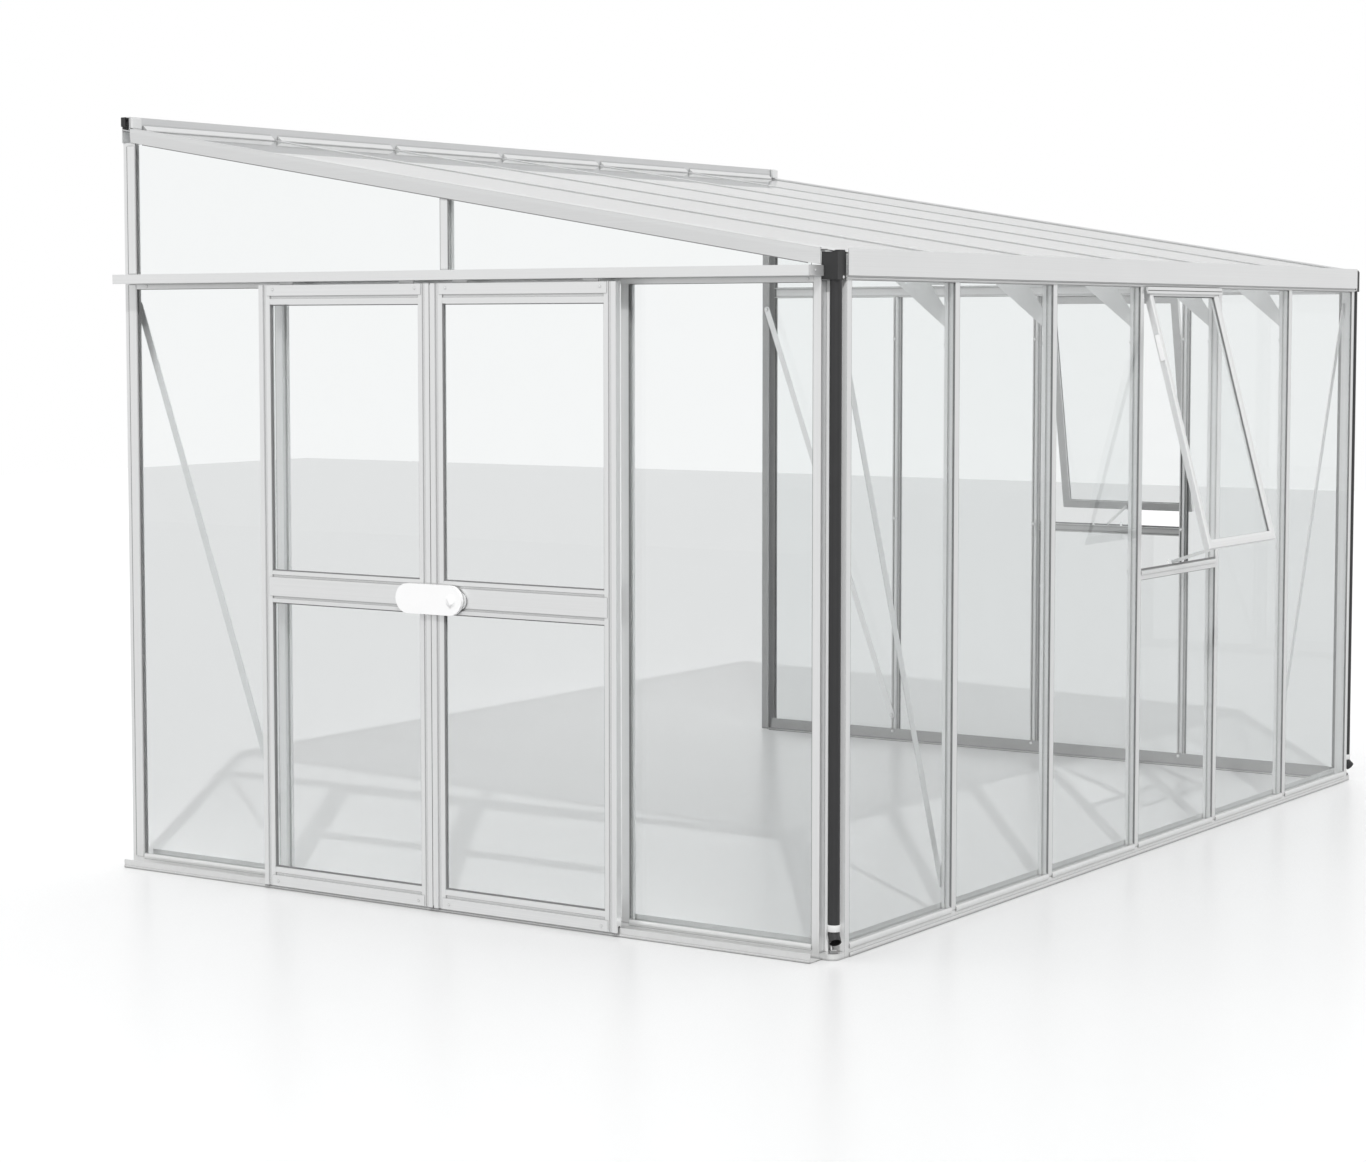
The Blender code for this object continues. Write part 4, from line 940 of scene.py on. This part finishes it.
# %% [markdown]
# ## Seals over the transoms
# The upper panes of a gable slope at their head, so a rectangle doesn't fit them. Their seals are laid
# one by one: along the transom's top in each bay, and up the upper bar and the rear post to where the
# verge begins.

# %% Seals over the transoms
UPPER_PANE_START = 0.110
VERGE_DEPTH = 0.047
SEAL_OFF = 0.0013


def add_upper_seals(which):
    """Seals along the transom's top, beside the upper bar and beside the rear post."""
    plane, inward = wall_of(which)
    shape = bmesh.new()
    base = at(plane, 0, 0)
    bar = GABLE_BARS[1]
    foot = rectangle(TRANSOM_HIGH + 0.0002, TRANSOM_HIGH + 0.0026, 0.0004, 0.0032)
    for low, high in ((UPPER_PANE_START, bar - CAP_HALF), (bar + CAP_HALF, WALL_CAP)):
        add_prism(shape, foot, base, Z, inward, Y, low, high)
    for edge in (bar - (CAP_HALF + SEAL_OFF), bar + (CAP_HALF + SEAL_OFF), WALL_CAP - SEAL_OFF):
        strip = rectangle(edge - 0.0011, edge + 0.0011, 0.0004, 0.0032)
        add_prism(shape, strip, base, Y, inward, Z, TRANSOM_HIGH + 0.003, roof_z(edge, VERGE_DEPTH))
    return finish_piece(f"{which}_upper_seals", shape, rubber)


for which in ("near", "far"):
    add_upper_seals(which)
print("seals on the upper panes")

# %% [markdown]
# ## Door leaf seals
# The panes of a leaf sit deeper, in pockets of the stiles and rails. Their seals show as a dark line
# round each pane. One of the two stiles that meet carries a narrow metal strip, which fills most of
# the gap between them. Each piece rides with its own leaf.

# %% Leaf seals
LEAF_FACE = -0.080
LEAF_STILE_EDGE = 0.048
LEAF_PANE_FRONT = 0.0108
LEAF_TOP = 2.094
POCKET = 0.010
LEAVES = {}
for leaf in ("wall_side_door", "corner_side_door"):
    low, high = measured(f"{leaf}_frame")
    lower, upper = measured(f"{leaf}_lower_glass"), measured(f"{leaf}_upper_glass")
    LEAVES[leaf] = (low.y, high.y, lower[0].z + POCKET, lower[1].z - POCKET, upper[0].z + POCKET,
                    upper[1].z - POCKET)


def add_leaf_seals(leaf):
    """Rubber round both panes of a leaf, in front of the glass and behind it."""
    low, high, foot, under, over, top = LEAVES[leaf]
    shape = bmesh.new()
    wall = (at(LEAF_FACE, 0, 0), Y, X, Z)
    for z0, z1 in ((foot, under), (over, top)):
        for v0, v1 in ((LEAF_PANE_FRONT - 0.004, LEAF_PANE_FRONT - 0.0001),
                       (LEAF_PANE_FRONT + 0.0031, LEAF_PANE_FRONT + 0.006)):
            add_ring(shape, wall, low + LEAF_STILE_EDGE + 0.0002, high - LEAF_STILE_EDGE - 0.0002,
                     z0 + 0.0002, z1 - 0.0002, 0.0032, v0, v1)
    return finish_piece(f"{leaf}_seals", shape, rubber, leaf)


for leaf in LEAVES:
    add_leaf_seals(leaf)
print("seals on", len(LEAVES), "leaves")

# %% Meeting strip
meeting = (LEAVES["corner_side_door"][1] + LEAVES["wall_side_door"][0]) / 2
shape = bmesh.new()
strip = rectangle(-0.0024, 0.0014, 0.0012, 0.006)
add_prism(shape, strip, at(LEAF_FACE, meeting, 0), Y, X, Z, 0.020, LEAF_TOP - 0.004)
finish_piece("meeting_strip", shape, metals["upright"], "corner_side_door")
print("meeting strip at", round(meeting, 4))

# %% [markdown]
# ## Beads and cover strips
# The foot of each pane is held by a bead that is pressed on to the sill's nose. It is a rounded strip
# that catches the light, with a thin shadow under it. A lip of the same kind runs along the foot of
# the sills and of the guide rail, and a bead under the eaves. The rear posts have a cover strip, with a
# thin dark rubber line beside it as a painted groove shadow.

# %% Beads on the sills
def add_bead(shape, wall, low_u, high_u):
    """A rounded bead on the sill's nose, along one bay."""
    base, across, inward, up = wall
    outline = [(0.0006, 0.0262), (-0.0020, 0.0266), (-0.0032, 0.0290), (-0.0034, 0.0340), (-0.0024, 0.0395),
               (-0.0002, 0.0438), (0.0030, BEAD_TOP - 0.0002), (0.0030, 0.0345), (0.0020, 0.0330)]
    add_prism(shape, outline, base, inward, up, across, low_u, high_u)


BASE_LIP = [(-0.0002, 0.0014), (-0.0024, 0.0018), (-0.0024, 0.0112), (-0.0014, 0.0128), (-0.0002, 0.0130)]


shape = bmesh.new()
for low, high in front_bays:
    add_bead(shape, front_wall, low + 0.0004, high - 0.0004)
add_prism(shape, BASE_LIP, at(0, 0, 0), Y, Z, X, CORNER_FLANGE + 0.001, LENGTH - CORNER_FLANGE - 0.001)
finish_piece("front_beads", shape, metals["along"])
for which, wall, bays in (("far", far_wall, gable_bays), ("near", near_wall, near_bays)):
    shape = bmesh.new()
    for low, high in bays:
        add_bead(shape, wall, low + 0.0004, high - 0.0004)
    if which == "far":
        add_prism(shape, BASE_LIP, wall[0], wall[2], Z, Y, CORNER_FLANGE + 0.001, WALL_CAP - 0.001)
    finish_piece(f"{which}_beads", shape, metals["across"])
print("beads in", len(front_bays) + len(gable_bays) + len(near_bays), "bays")

# %% Lip on the guide rail and bead under the eaves
shape = bmesh.new()
rail = measured("guide_rail")
foot_lip = [(-0.0002, 0.0012), (-0.0020, 0.0014), (-0.0020, 0.0072), (-0.0012, 0.0083), (-0.0002, 0.0085)]
add_prism(shape, foot_lip, at(rail[0].x, 0, 0), X, Z, Y, rail[0].y + 0.0005, rail[1].y - 0.0005)
finish_piece("guide_rail_lip", shape, metals["across"])
shape = bmesh.new()
eave_bead = [(-0.0003, EAVE + 0.0022), (-0.0036, EAVE + 0.0028), (-0.0050, EAVE + 0.0048),
             (-0.0044, EAVE + 0.0070), (-0.0020, EAVE + 0.0082), (-0.0003, EAVE + 0.0084)]
add_prism(shape, eave_bead, at(0, 0, 0), Y, Z, X, 0.0510, LENGTH - 0.0510)
finish_piece("eave_bead", shape, metals["eave"])
print("bead under the eaves at", round(EAVE, 3))

# %% Cover strips on the rear posts
def add_post_strip(which, runs):
    """A rounded strip on a rear post's face, in the runs that the track and the rail leave free, and a dark
    rubber line beside it that paints a groove's shadow.
    """
    plane, inward = wall_of(which)
    outline = [(WIDTH - 0.053, -0.0002), (WIDTH - 0.052, -0.0018), (WIDTH - 0.049, -0.0027),
               (WIDTH - 0.022, -0.0027), (WIDTH - 0.019, -0.0018), (WIDTH - 0.018, -0.0002)]
    shape = bmesh.new()
    for low, high in runs:
        add_prism(shape, outline, at(plane, 0, 0), Y, inward, Z, low, high)
    finish_piece(f"{which}_post_strip", shape, metals["upright"])
    # The dark rubber line beside the strip is a painted groove shadow.
    shape = bmesh.new()
    line = rectangle(WIDTH - 0.0176, WIDTH - 0.0158, -0.0012, -0.0002)
    for low, high in runs:
        add_prism(shape, line, at(plane, 0, 0), Y, inward, Z, low, high)
    return finish_piece(f"{which}_post_painted_shadow_line", shape, rubber)


track_low, track_high = measured("door_track")
rail_high = measured("guide_rail")[1]
post_top = measured("wall_post_near")[1].z
add_post_strip("near", [(rail_high.z + 0.004, track_low.z - 0.003), (track_high.z + 0.003, post_top - 0.012)])
add_post_strip("far", [(0.002, post_top - 0.012)])
print("cover strips up to", round(post_top, 3))

# %% [markdown]
# ## Wall bar
# The roof's panes end at the wall bar. In each bay a sloping strip lies on the glass and closes the
# joint. A bright clamp holds the bar at each end, and a black plate closes its open end.

# %% Strips along the wall bar
VERGE_EDGE = 0.040
STRIP_END_GAP = 0.020


def add_wall_bar_strips():
    """A sloping strip on the roof glass in each bay, against the wall bar's face."""
    edges = [VERGE_EDGE] + FRONT_BARS + [LENGTH - VERGE_EDGE]
    back, front = WALL_BAR_FACE - 0.0004, WALL_BAR_FACE - 0.020
    outline = [(front, roof_z(front, 0.0031)), (back, roof_z(back, 0.0031)), (back, roof_z(back) + 0.014),
               (back - 0.004, roof_z(back) + 0.014), (front, roof_z(front) + 0.002)]
    shape = bmesh.new()
    for low, high in zip(edges, edges[1:]):
        add_prism(shape, outline, at(0, 0, 0), Y, Z, X, low + STRIP_END_GAP, high - STRIP_END_GAP)
    return finish_piece("wall_bar_strips", shape, metals["eave"], edge=0.0008)


add_wall_bar_strips()
print("strips in", len(FRONT_BARS) + 1, "roof bays")

# %% Clamps and end plates of the wall bar
def add_wall_bar_ends():
    """A bright clamp and a black end plate at each end of the wall bar."""
    low, high = measured("wall_bar")
    top = high.z
    clamp, plate = bmesh.new(), bmesh.new()
    face = WALL_BAR_FACE - 0.0004
    front = face - 0.014
    block = [(front, roof_z(front) + 0.0030), (face, roof_z(face) + 0.0030), (face, top - 0.001),
             (front, top - 0.004)]
    for start, end in ((low.x + 0.002, low.x + 0.046), (high.x - 0.046, high.x - 0.002)):
        add_prism(clamp, block, at(0, 0, 0), Y, Z, X, start, end)
    cover = rectangle(WIDTH - 0.022, WIDTH - 0.001, top - 0.034, top - 0.001)
    for start, end in ((low.x - 0.0062, low.x - 0.0003), (high.x + 0.0003, high.x + 0.0062)):
        add_prism(plate, cover, at(0, 0, 0), Y, Z, X, start, end)
    finish_piece("wall_bar_clamps", clamp, metals["eave"], edge=0.0010)
    finish_piece("wall_bar_end_plates", plate, black_plastic, edge=0.0010)


add_wall_bar_ends()
print("clamps and end plates on the wall bar")

# %% [markdown]
# ## Verge trims
# A rounded rib runs up the outer edge of each verge, and a rubber seal lies between the verge's side
# plate and the gable's upper panes. Both are drawn along the slope of the roof.

# %% Verge trims
def add_verge_trim(which):
    """A rounded rib along the verge's outer edge, and the seal under its side plate."""
    plane, inward = wall_of(which)
    rib = [(-0.0062, -0.0002), (-0.0062, -0.0018), (-0.0050, -0.0028), (0.0040, -0.0028), (0.0056, -0.0018),
           (0.0062, -0.0002)]
    start, end = 0.060 / math.cos(ROOF_ANGLE), (WALL_BAR_FACE - 0.014) / math.cos(ROOF_ANGLE)
    shape = bmesh.new()
    base = at(plane, 0, ROOF_HEIGHT)
    add_prism(shape, rib, base, inward, -ROOF_UP, ROOF_ALONG, start, end)
    finish_piece(f"{which}_verge_rib", shape, metals["verge"])
    shape = bmesh.new()
    add_prism(shape, rectangle(-0.0032, 0.0031, 0.0482, 0.0510), base, inward, -ROOF_UP, ROOF_ALONG,
              0.100, end - 0.050)
    finish_piece(f"{which}_verge_seal", shape, rubber)


for which in ("near", "far"):
    add_verge_trim(which)
print("ribs and seals on the verges")

# %% [markdown]
# ## Bolts
# The frame is bolted together through the slots in the bars. A bolt here is a thin washer under a
# hexagon head with a slightly domed top. All bolts of one wall become one object. A brace has one
# at each end, a bar has one over the sill and two higher up, and a knee plate has two that hold
# it against the roof bar.

# %% Bolts
WASHER = [(0.0078, 0.0001), (0.0078, 0.0012)]
HEAD = [(0.0058, 0.0012), (0.0058, 0.0046), (0.0046, 0.0053)]
SCREW = [(0.0042, 0.0001), (0.0040, 0.0012), (0.0026, 0.0020)]


def add_bolt(shape, place, out):
    """A washer under a hexagon head."""
    add_turning(shape, place, out, WASHER, 20)
    add_turning(shape, place, out, HEAD, 6)


BAR_DEPTH = 0.045
STRAP_FACE = 0.0484
STRAP_END = 0.014
STRAP_FOOT, STRAP_TOP = 0.105, EAVE - 0.050
BOLT_HEIGHTS = (1.050, 1.890)
SILL_BOLT = 0.043
PLATE_BOLTS, PLATE_DROP, PLATE_THICK = (0.170, 0.285), 0.013, 0.003
STRAP_HEAD = 0.0593
POST_MIDDLE = 0.021


def add_strap_bolts(shape, start, end, out):
    """One bolt near each end of a brace."""
    along = (end - start).normalized()
    for place in (start + along * STRAP_END, end - along * STRAP_END):
        add_bolt(shape, place, out)


shape = bmesh.new()
for bar in FRONT_BARS:
    for height in BOLT_HEIGHTS:
        add_bolt(shape, at(bar, BAR_DEPTH, height), Y)
    add_bolt(shape, at(bar, STRAP_FACE, SILL_BOLT), Y)
    for y in PLATE_BOLTS:
        plate = at(bar - PLATE_THICK / 2, y, roof_z(y, BAR_DEPTH) - PLATE_DROP)
        add_bolt(shape, plate, -X)
        add_bolt(shape, plate + X * PLATE_THICK, X)
for bar, end_x in ((FRONT_BARS[0], STRAP_HEAD), (FRONT_BARS[-1], LENGTH - STRAP_HEAD)):
    add_strap_bolts(shape, at(bar, STRAP_FACE, STRAP_FOOT), at(end_x, STRAP_FACE, STRAP_TOP), Y)
finish_piece("front_bolts", shape, metals["across"])
print("bolts on", len(FRONT_BARS), "front bars")

# %% Bolts on the gables
for which in ("near", "far"):
    plane, inward = wall_of(which)
    depth, strap = inward * BAR_DEPTH, inward * STRAP_FACE
    shape = bmesh.new()
    bars = GABLE_BARS if which == "far" else (GABLE_BARS[0], GABLE_BARS[2])
    for bar in bars:
        for height in BOLT_HEIGHTS:
            add_bolt(shape, at(plane, bar, height) + depth, inward)
        add_bolt(shape, at(plane, bar, SILL_BOLT) + strap, inward)
    start = at(plane, GABLE_BARS[2], STRAP_FOOT) + strap
    end = at(plane, WIDTH - POST_MIDDLE, STRAP_TOP) + strap
    add_strap_bolts(shape, start, end, inward)
    finish_piece(f"{which}_bolts", shape, metals["along"])
print("bolts on both gables")

# %% [markdown]
# ## Track and leaf fittings
# The track's open end is closed by a small plate with one screw, and rubber buffers inside stop the
# leaves. A plate between the corner post's head and the transom closes the corner behind that end.
# Each leaf shows the screws that hold its foot and top rails, and rubber plugs close its stiles.

# %% Track and leaf fittings
track_end = track_low.y
shape = bmesh.new()
end_plate = rectangle(0.0012, 0.0850, track_low.z + 0.0010, track_high.z - 0.0010)
add_prism(shape, end_plate, at(0, 0, 0), -X, Z, Y, track_end - 0.0022, track_end - 0.0003)
add_turning(shape, at(-0.050, track_end - 0.0022, 2.121), -Y, SCREW, 16)
for y in (0.105, WIDTH - 0.105):
    add_turning(shape, at(-0.0001, y, 2.096), -X, SCREW, 16)
finish_piece("track_end_plate", shape, metals["along"])
for which in ("near", "far"):
    plane, inward = wall_of(which)
    shape = bmesh.new()
    plate = rectangle(0.0582, 0.0848, EAVE + 0.0002, EAVE + 0.0440)
    add_prism(shape, plate, at(plane, 0, 0), Y, Z, inward, 0.0003, 0.0030)
    finish_piece(f"{which}_corner_plate", shape, metals["upright"])
shape = bmesh.new()
cushion = rectangle(0.056, 0.080, track_low.z + 0.008, track_high.z - 0.005)
for y in (track_low.y + 0.004, track_high.y - 0.018):
    add_prism(shape, cushion, at(0, 0, 0), -X, Z, Y, y, y + 0.014)
finish_piece("track_buffers", shape, rubber, edge=0.0015)
print("end plate, corner plates and buffers")

# %% Leaf screws and plugs
for leaf in LEAVES:
    low, high = LEAVES[leaf][:2]
    screws, plugs = bmesh.new(), bmesh.new()
    for y in (low + 0.062, high - 0.062):
        for z in (0.030, 2.078):
            add_turning(screws, at(LEAF_FACE + 0.001, y, z), -X, SCREW, 16)
    for y in (low + 0.001, high - 0.019):
        add_prism(plugs, rectangle(-0.0795, -0.0732, 0.0088, 0.0134), at(0, 0, 0), X, Z, Y, y, y + 0.018)
    finish_piece(f"{leaf}_screws", screws, metals["upright"], leaf)
    finish_piece(f"{leaf}_plugs", plugs, rubber, leaf)
print("screws and plugs on", len(LEAVES), "leaves")

# %% [markdown]
# ## Lock
# The lock's white plate covers both meeting stiles. A round turn knob sits near its right end, on a
# low collar, with a flat grip across it. Behind the plate a grey backing plate reaches a little
# farther. All of it belongs to the leaf on the corner's side.

# %% Lock
LOCK_FACE = measured("lock")[0].x
LOCK_CENTRE = middle("lock").z
KNOB_Y = 1.414


def rounded_outline(u0, u1, v0, v1, radius, steps=8):
    """The outline of a rectangle with rounded corners."""
    points = []
    centres = ((u1 - radius, v0 + radius, -90), (u1 - radius, v1 - radius, 0),
               (u0 + radius, v1 - radius, 90), (u0 + radius, v0 + radius, 180))
    for cu, cv, first in centres:
        for k in range(steps + 1):
            angle = math.radians(first + 90.0 * k / steps)
            points.append((cu + radius * math.cos(angle), cv + radius * math.sin(angle)))
    return points


print("lock centre at", round(LOCK_CENTRE, 3))

# %% Turn knob
COLLAR = [(0.0200, 0.0001), (0.0200, 0.0016), (0.0190, 0.0022)]
KNOB = [(0.0165, 0.0022), (0.0165, 0.0044), (0.0150, 0.0056), (0.0060, 0.0060)]
GRIP_TURN = math.radians(62)
shape = bmesh.new()
knob_place = at(LOCK_FACE, KNOB_Y, LOCK_CENTRE)
for profile in (COLLAR, KNOB):
    add_turning(shape, knob_place, -X, profile, 40)
grip = rounded_outline(-0.0150, 0.0150, -0.0034, 0.0034, 0.0033, 4)
turned = Y * math.cos(GRIP_TURN) + Z * math.sin(GRIP_TURN)
add_prism(shape, grip, knob_place, turned, X.cross(turned), -X, 0.0056, 0.0120)
finish_piece("lock_knob", shape, white_plastic, "corner_side_door", edge=0.0008, smooth=True)
print("knob at", [round(v, 3) for v in knob_place - corner])

# %% Backing plate
shape = bmesh.new()
backing = rounded_outline(1.3605, 1.4860, LOCK_CENTRE - 0.030, LOCK_CENTRE + 0.030, 0.029)
add_prism(shape, backing, at(0, 0, 0), Y, Z, -X, 0.0792, 0.0847)
finish_piece("lock_backing", shape, metals["across"], "corner_side_door", edge=0.0008)
print("backing plate behind the lock")

# %% [markdown]
# ## Rainwater pipes
# Each pipe stands in the corner post's recess, between a bright fin and a bright sheet, whose pale
# colour is painted light on the recess's shaded sides. It is held by a white clip just above its shoe.
# Under the mouth, a small bracket stands on a dark rubber pad on the post's foot, whose dark colour is
# also painted shade. A screw holds the cap on the gutter's end.

# %% Pipe clips
PIPE_AT = (0.0235, 0.0195)
CLIP_RING = [(0.0206, 0), (0.0212, 0.0012), (0.0212, 0.0200), (0.0206, 0.0212)]
CLIP_HEIGHT = 0.089


def pipe_axes(which):
    """The pipe's axis, and the directions across its clip and out of the corner."""
    plane, inward = wall_of(which)
    side = Vector((inward.x, -1, 0)).normalized()
    out = Vector((-inward.x, -1, 0)).normalized()
    return at(plane, PIPE_AT[1], 0) + inward * PIPE_AT[0], side, out


def add_pipe_clip(which):
    """A white ring with its foot, and a rubber pad under the pipe's mouth whose dark colour also paints the
    shade there.
    """
    axis, side, out = pipe_axes(which)
    shape = bmesh.new()
    add_turning(shape, axis + Z * CLIP_HEIGHT, Z, CLIP_RING, 40)
    foot = rectangle(-0.006, 0.006, 0.0190, 0.0235)
    add_prism(shape, foot, axis + Z * 0.090, side, -out, Z, 0.0, 0.0192)
    finish_piece(f"{which}_pipe_clip", shape, clip_plastic, edge=0.0005, smooth=True)
    pad_with_painted_shade = bmesh.new()
    add_prism(pad_with_painted_shade, rectangle(-0.014, 0.012, -0.006, 0.010), axis, side, out, Z, 0.0203, 0.0290)
    finish_piece(f"{which}_pipe_pad", pad_with_painted_shade, rubber, edge=0.0010)


print("clip ring", CLIP_HEIGHT, "over the floor")

# %% Recess metal, bracket and cap screw
BRACKET = [(-0.0095, 0.0292), (0.0080, 0.0292), (0.0080, 0.0312), (-0.0065, 0.0312), (-0.0065, 0.0450),
           (-0.0095, 0.0450)]
CAP_SCREW = [(0.0050, 0.0001), (0.0048, 0.0014), (0.0030, 0.0024)]


def add_pipe_channel(which):
    """A bright fin on one side of the pipe and a bright sheet on the other, both pale as painted light."""
    plane, inward = wall_of(which)
    channel = bmesh.new()
    fin = rectangle(0.0324, 0.0338, 0.0440, 0.0574)
    painted_light_sheet = rectangle(0.0562, 0.0574, 0.0012, 0.0405)
    for strip in (fin, painted_light_sheet):
        add_prism(channel, strip, at(plane, 0, 0), inward, Y, Z, 0.0204, EAVE - 0.002)
    finish_piece(f"{which}_pipe_channel", channel, metals["recess"])


def add_pipe_bracket(which):
    """The bracket on the pad, and the screw in the gutter's cap."""
    axis, side, out = pipe_axes(which)
    bracket = bmesh.new()
    add_prism(bracket, BRACKET, axis, side, Z, out, -0.0020, 0.0080)
    finish_piece(f"{which}_pipe_bracket", bracket, metals["upright"])
    plane, inward = wall_of(which)
    screw = bmesh.new()
    add_turning(screw, at(plane, 0, 2.1005) + inward * 0.0345, -Y, CAP_SCREW, 16)
    finish_piece(f"{which}_cap_screw", screw, metals["across"])


for which in ("near", "far"):
    add_pipe_clip(which)
    add_pipe_channel(which)
    add_pipe_bracket(which)
print("clips, channels and brackets on the pipes")

# %% [markdown]
# ## Windows
# Each casement hangs from a hinge strip under the eave beam or the transom. The strip is a grooved
# bar that runs from cap to cap, with a seal in its groove, and another seal lies round the pane. The
# casement's own directions follow from its tilt.

# %% Casement directions
CASEMENT_SIDE = 0.044
CASEMENT_THICK = 0.024
CASEMENT_RIM = 0.034
CASEMENT_LENGTH = 0.985
CASEMENT_OPEN = {"front": 15.0, "far": 11.5}
HEAD_OUT = {}


def casement_of(which):
    """Corner of the outer face, and the directions across, into and down the casement.

    It also notes in HEAD_OUT how far the casement's head stands out of the glazing plane.
    """
    if which == "front":
        hinge, across, inward = at(FRONT_BARS[2] + CASEMENT_SIDE, 0, EAVE), X, Y
        width = FRONT_BARS[3] - FRONT_BARS[2] - 2 * CASEMENT_SIDE
    else:
        hinge, across, inward = at(LENGTH, GABLE_BARS[0] + CASEMENT_SIDE, TRANSOM_LOW), Y, -X
        width = GABLE_BARS[1] - GABLE_BARS[0] - 2 * CASEMENT_SIDE
    tilt = math.radians(CASEMENT_OPEN[which])
    down = -Z * math.cos(tilt) - inward * math.sin(tilt)
    back = inward * math.cos(tilt) - Z * math.sin(tilt)
    HEAD_OUT[which] = CASEMENT_THICK * math.cos(tilt) - 0.020
    return hinge - inward * HEAD_OUT[which], across, back, down, inward, width


print("casements open, in degrees:", CASEMENT_OPEN)

# %% Casement seals and hinge strips
HINGE_SECTION = [(-0.0004, -0.0006), (-0.0098, -0.0006), (-0.0112, -0.0030), (-0.0116, -0.0115),
                 (-0.0098, -0.0122), (-0.0098, -0.0142), (-0.0122, -0.0149), (-0.0126, -0.0232),
                 (-0.0112, -0.0250), (-0.0072, -0.0250)]
HINGE_LINE = rectangle(-0.0104, -0.0098, -0.0142, -0.0122)
STRIP_REACH = 0.026
WINDOW_METAL = {"front": metals["along"], "far": metals["across"]}
for which in ("front", "far"):
    hinge, across, back, down, inward, width = casement_of(which)
    wall = (hinge, across, back, down)
    shape = bmesh.new()
    rim = CASEMENT_RIM + 0.0002
    for v0, v1 in ((0.0072, 0.0097), (0.0132, 0.0150)):
        add_ring(shape, wall, rim, width - rim, rim, CASEMENT_LENGTH - rim, 0.0010, v0, v1)
    finish_piece(f"{which}_casement_seals", shape, rubber)
    strip = bmesh.new()
    add_prism(strip, HINGE_SECTION, hinge, inward, Z, across, -STRIP_REACH, width + STRIP_REACH)
    finish_piece(f"{which}_hinge_strip", strip, WINDOW_METAL[which])
    line = bmesh.new()
    add_prism(line, HINGE_LINE, hinge, inward, Z, across, -STRIP_REACH, width + STRIP_REACH)
    finish_piece(f"{which}_hinge_seal", line, rubber)
print("casement seals and hinge strips")

# %% [markdown]
# ## Cills and catches
# The casement shuts on a seal along the cill's top, and a rounded nose sheds the rain under it. The
# stay rests on two turned pegs. A catch is a small white plate on each side of the casement.

# %% Cill seals, pegs and catches
NOSE_SECTION = [(-0.0002, -0.0014), (-0.0022, -0.0018), (-0.0034, -0.0045), (-0.0034, -0.0135),
                (-0.0024, -0.0160), (-0.0002, -0.0164)]
NOSE_REACH = 0.0286
PEG = [(0.0070, 0.0001), (0.0070, 0.0020), (0.0036, 0.0026), (0.0034, 0.0170), (0.0052, 0.0180),
       (0.0048, 0.0205)]
CATCH = rounded_outline(-0.004, 0.012, 0.178, 0.276, 0.004, 4)
for which in ("front", "far"):
    hinge, across, back, down, inward, width = casement_of(which)
    foot = Vector((hinge.x, hinge.y, 0)) + Z * CILL_HIGH
    plane = foot + inward * HEAD_OUT[which]
    seal = bmesh.new()
    section = rectangle(0.0010, 0.0066, 0.0002, 0.0064)
    add_prism(seal, section, plane, inward, Z, across, -STRIP_REACH, width + STRIP_REACH)
    finish_piece(f"{which}_cill_seal", seal, rubber)
    nose = bmesh.new()
    add_prism(nose, NOSE_SECTION, plane, inward, Z, across, -NOSE_REACH, width + NOSE_REACH)
    finish_piece(f"{which}_cill_nose", nose, WINDOW_METAL[which])
    pegs = bmesh.new()
    for u in (width / 2 - 0.060, width / 2 + 0.075):
        place = plane + across * u + inward * 0.018
        add_turning(pegs, place, Z, PEG, 20)
    finish_piece(f"{which}_stay_pegs", pegs, white_plastic, smooth=True)
    catch = bmesh.new()
    for u in (-0.0040, width + 0.0008):
        start = hinge + across * u + back * 0.006
        add_prism(catch, CATCH, start, back, down, across, 0.0, 0.0032)
    finish_piece(f"{which}_catches", catch, white_plastic)
print("cill seals, pegs and catches")

# %% [markdown]
# ## Finish
# The last step prints the box of the dressed model, trims and all.

# %% Finish
low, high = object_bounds()
print("dressed box", [round(v, 3) for v in high - low])
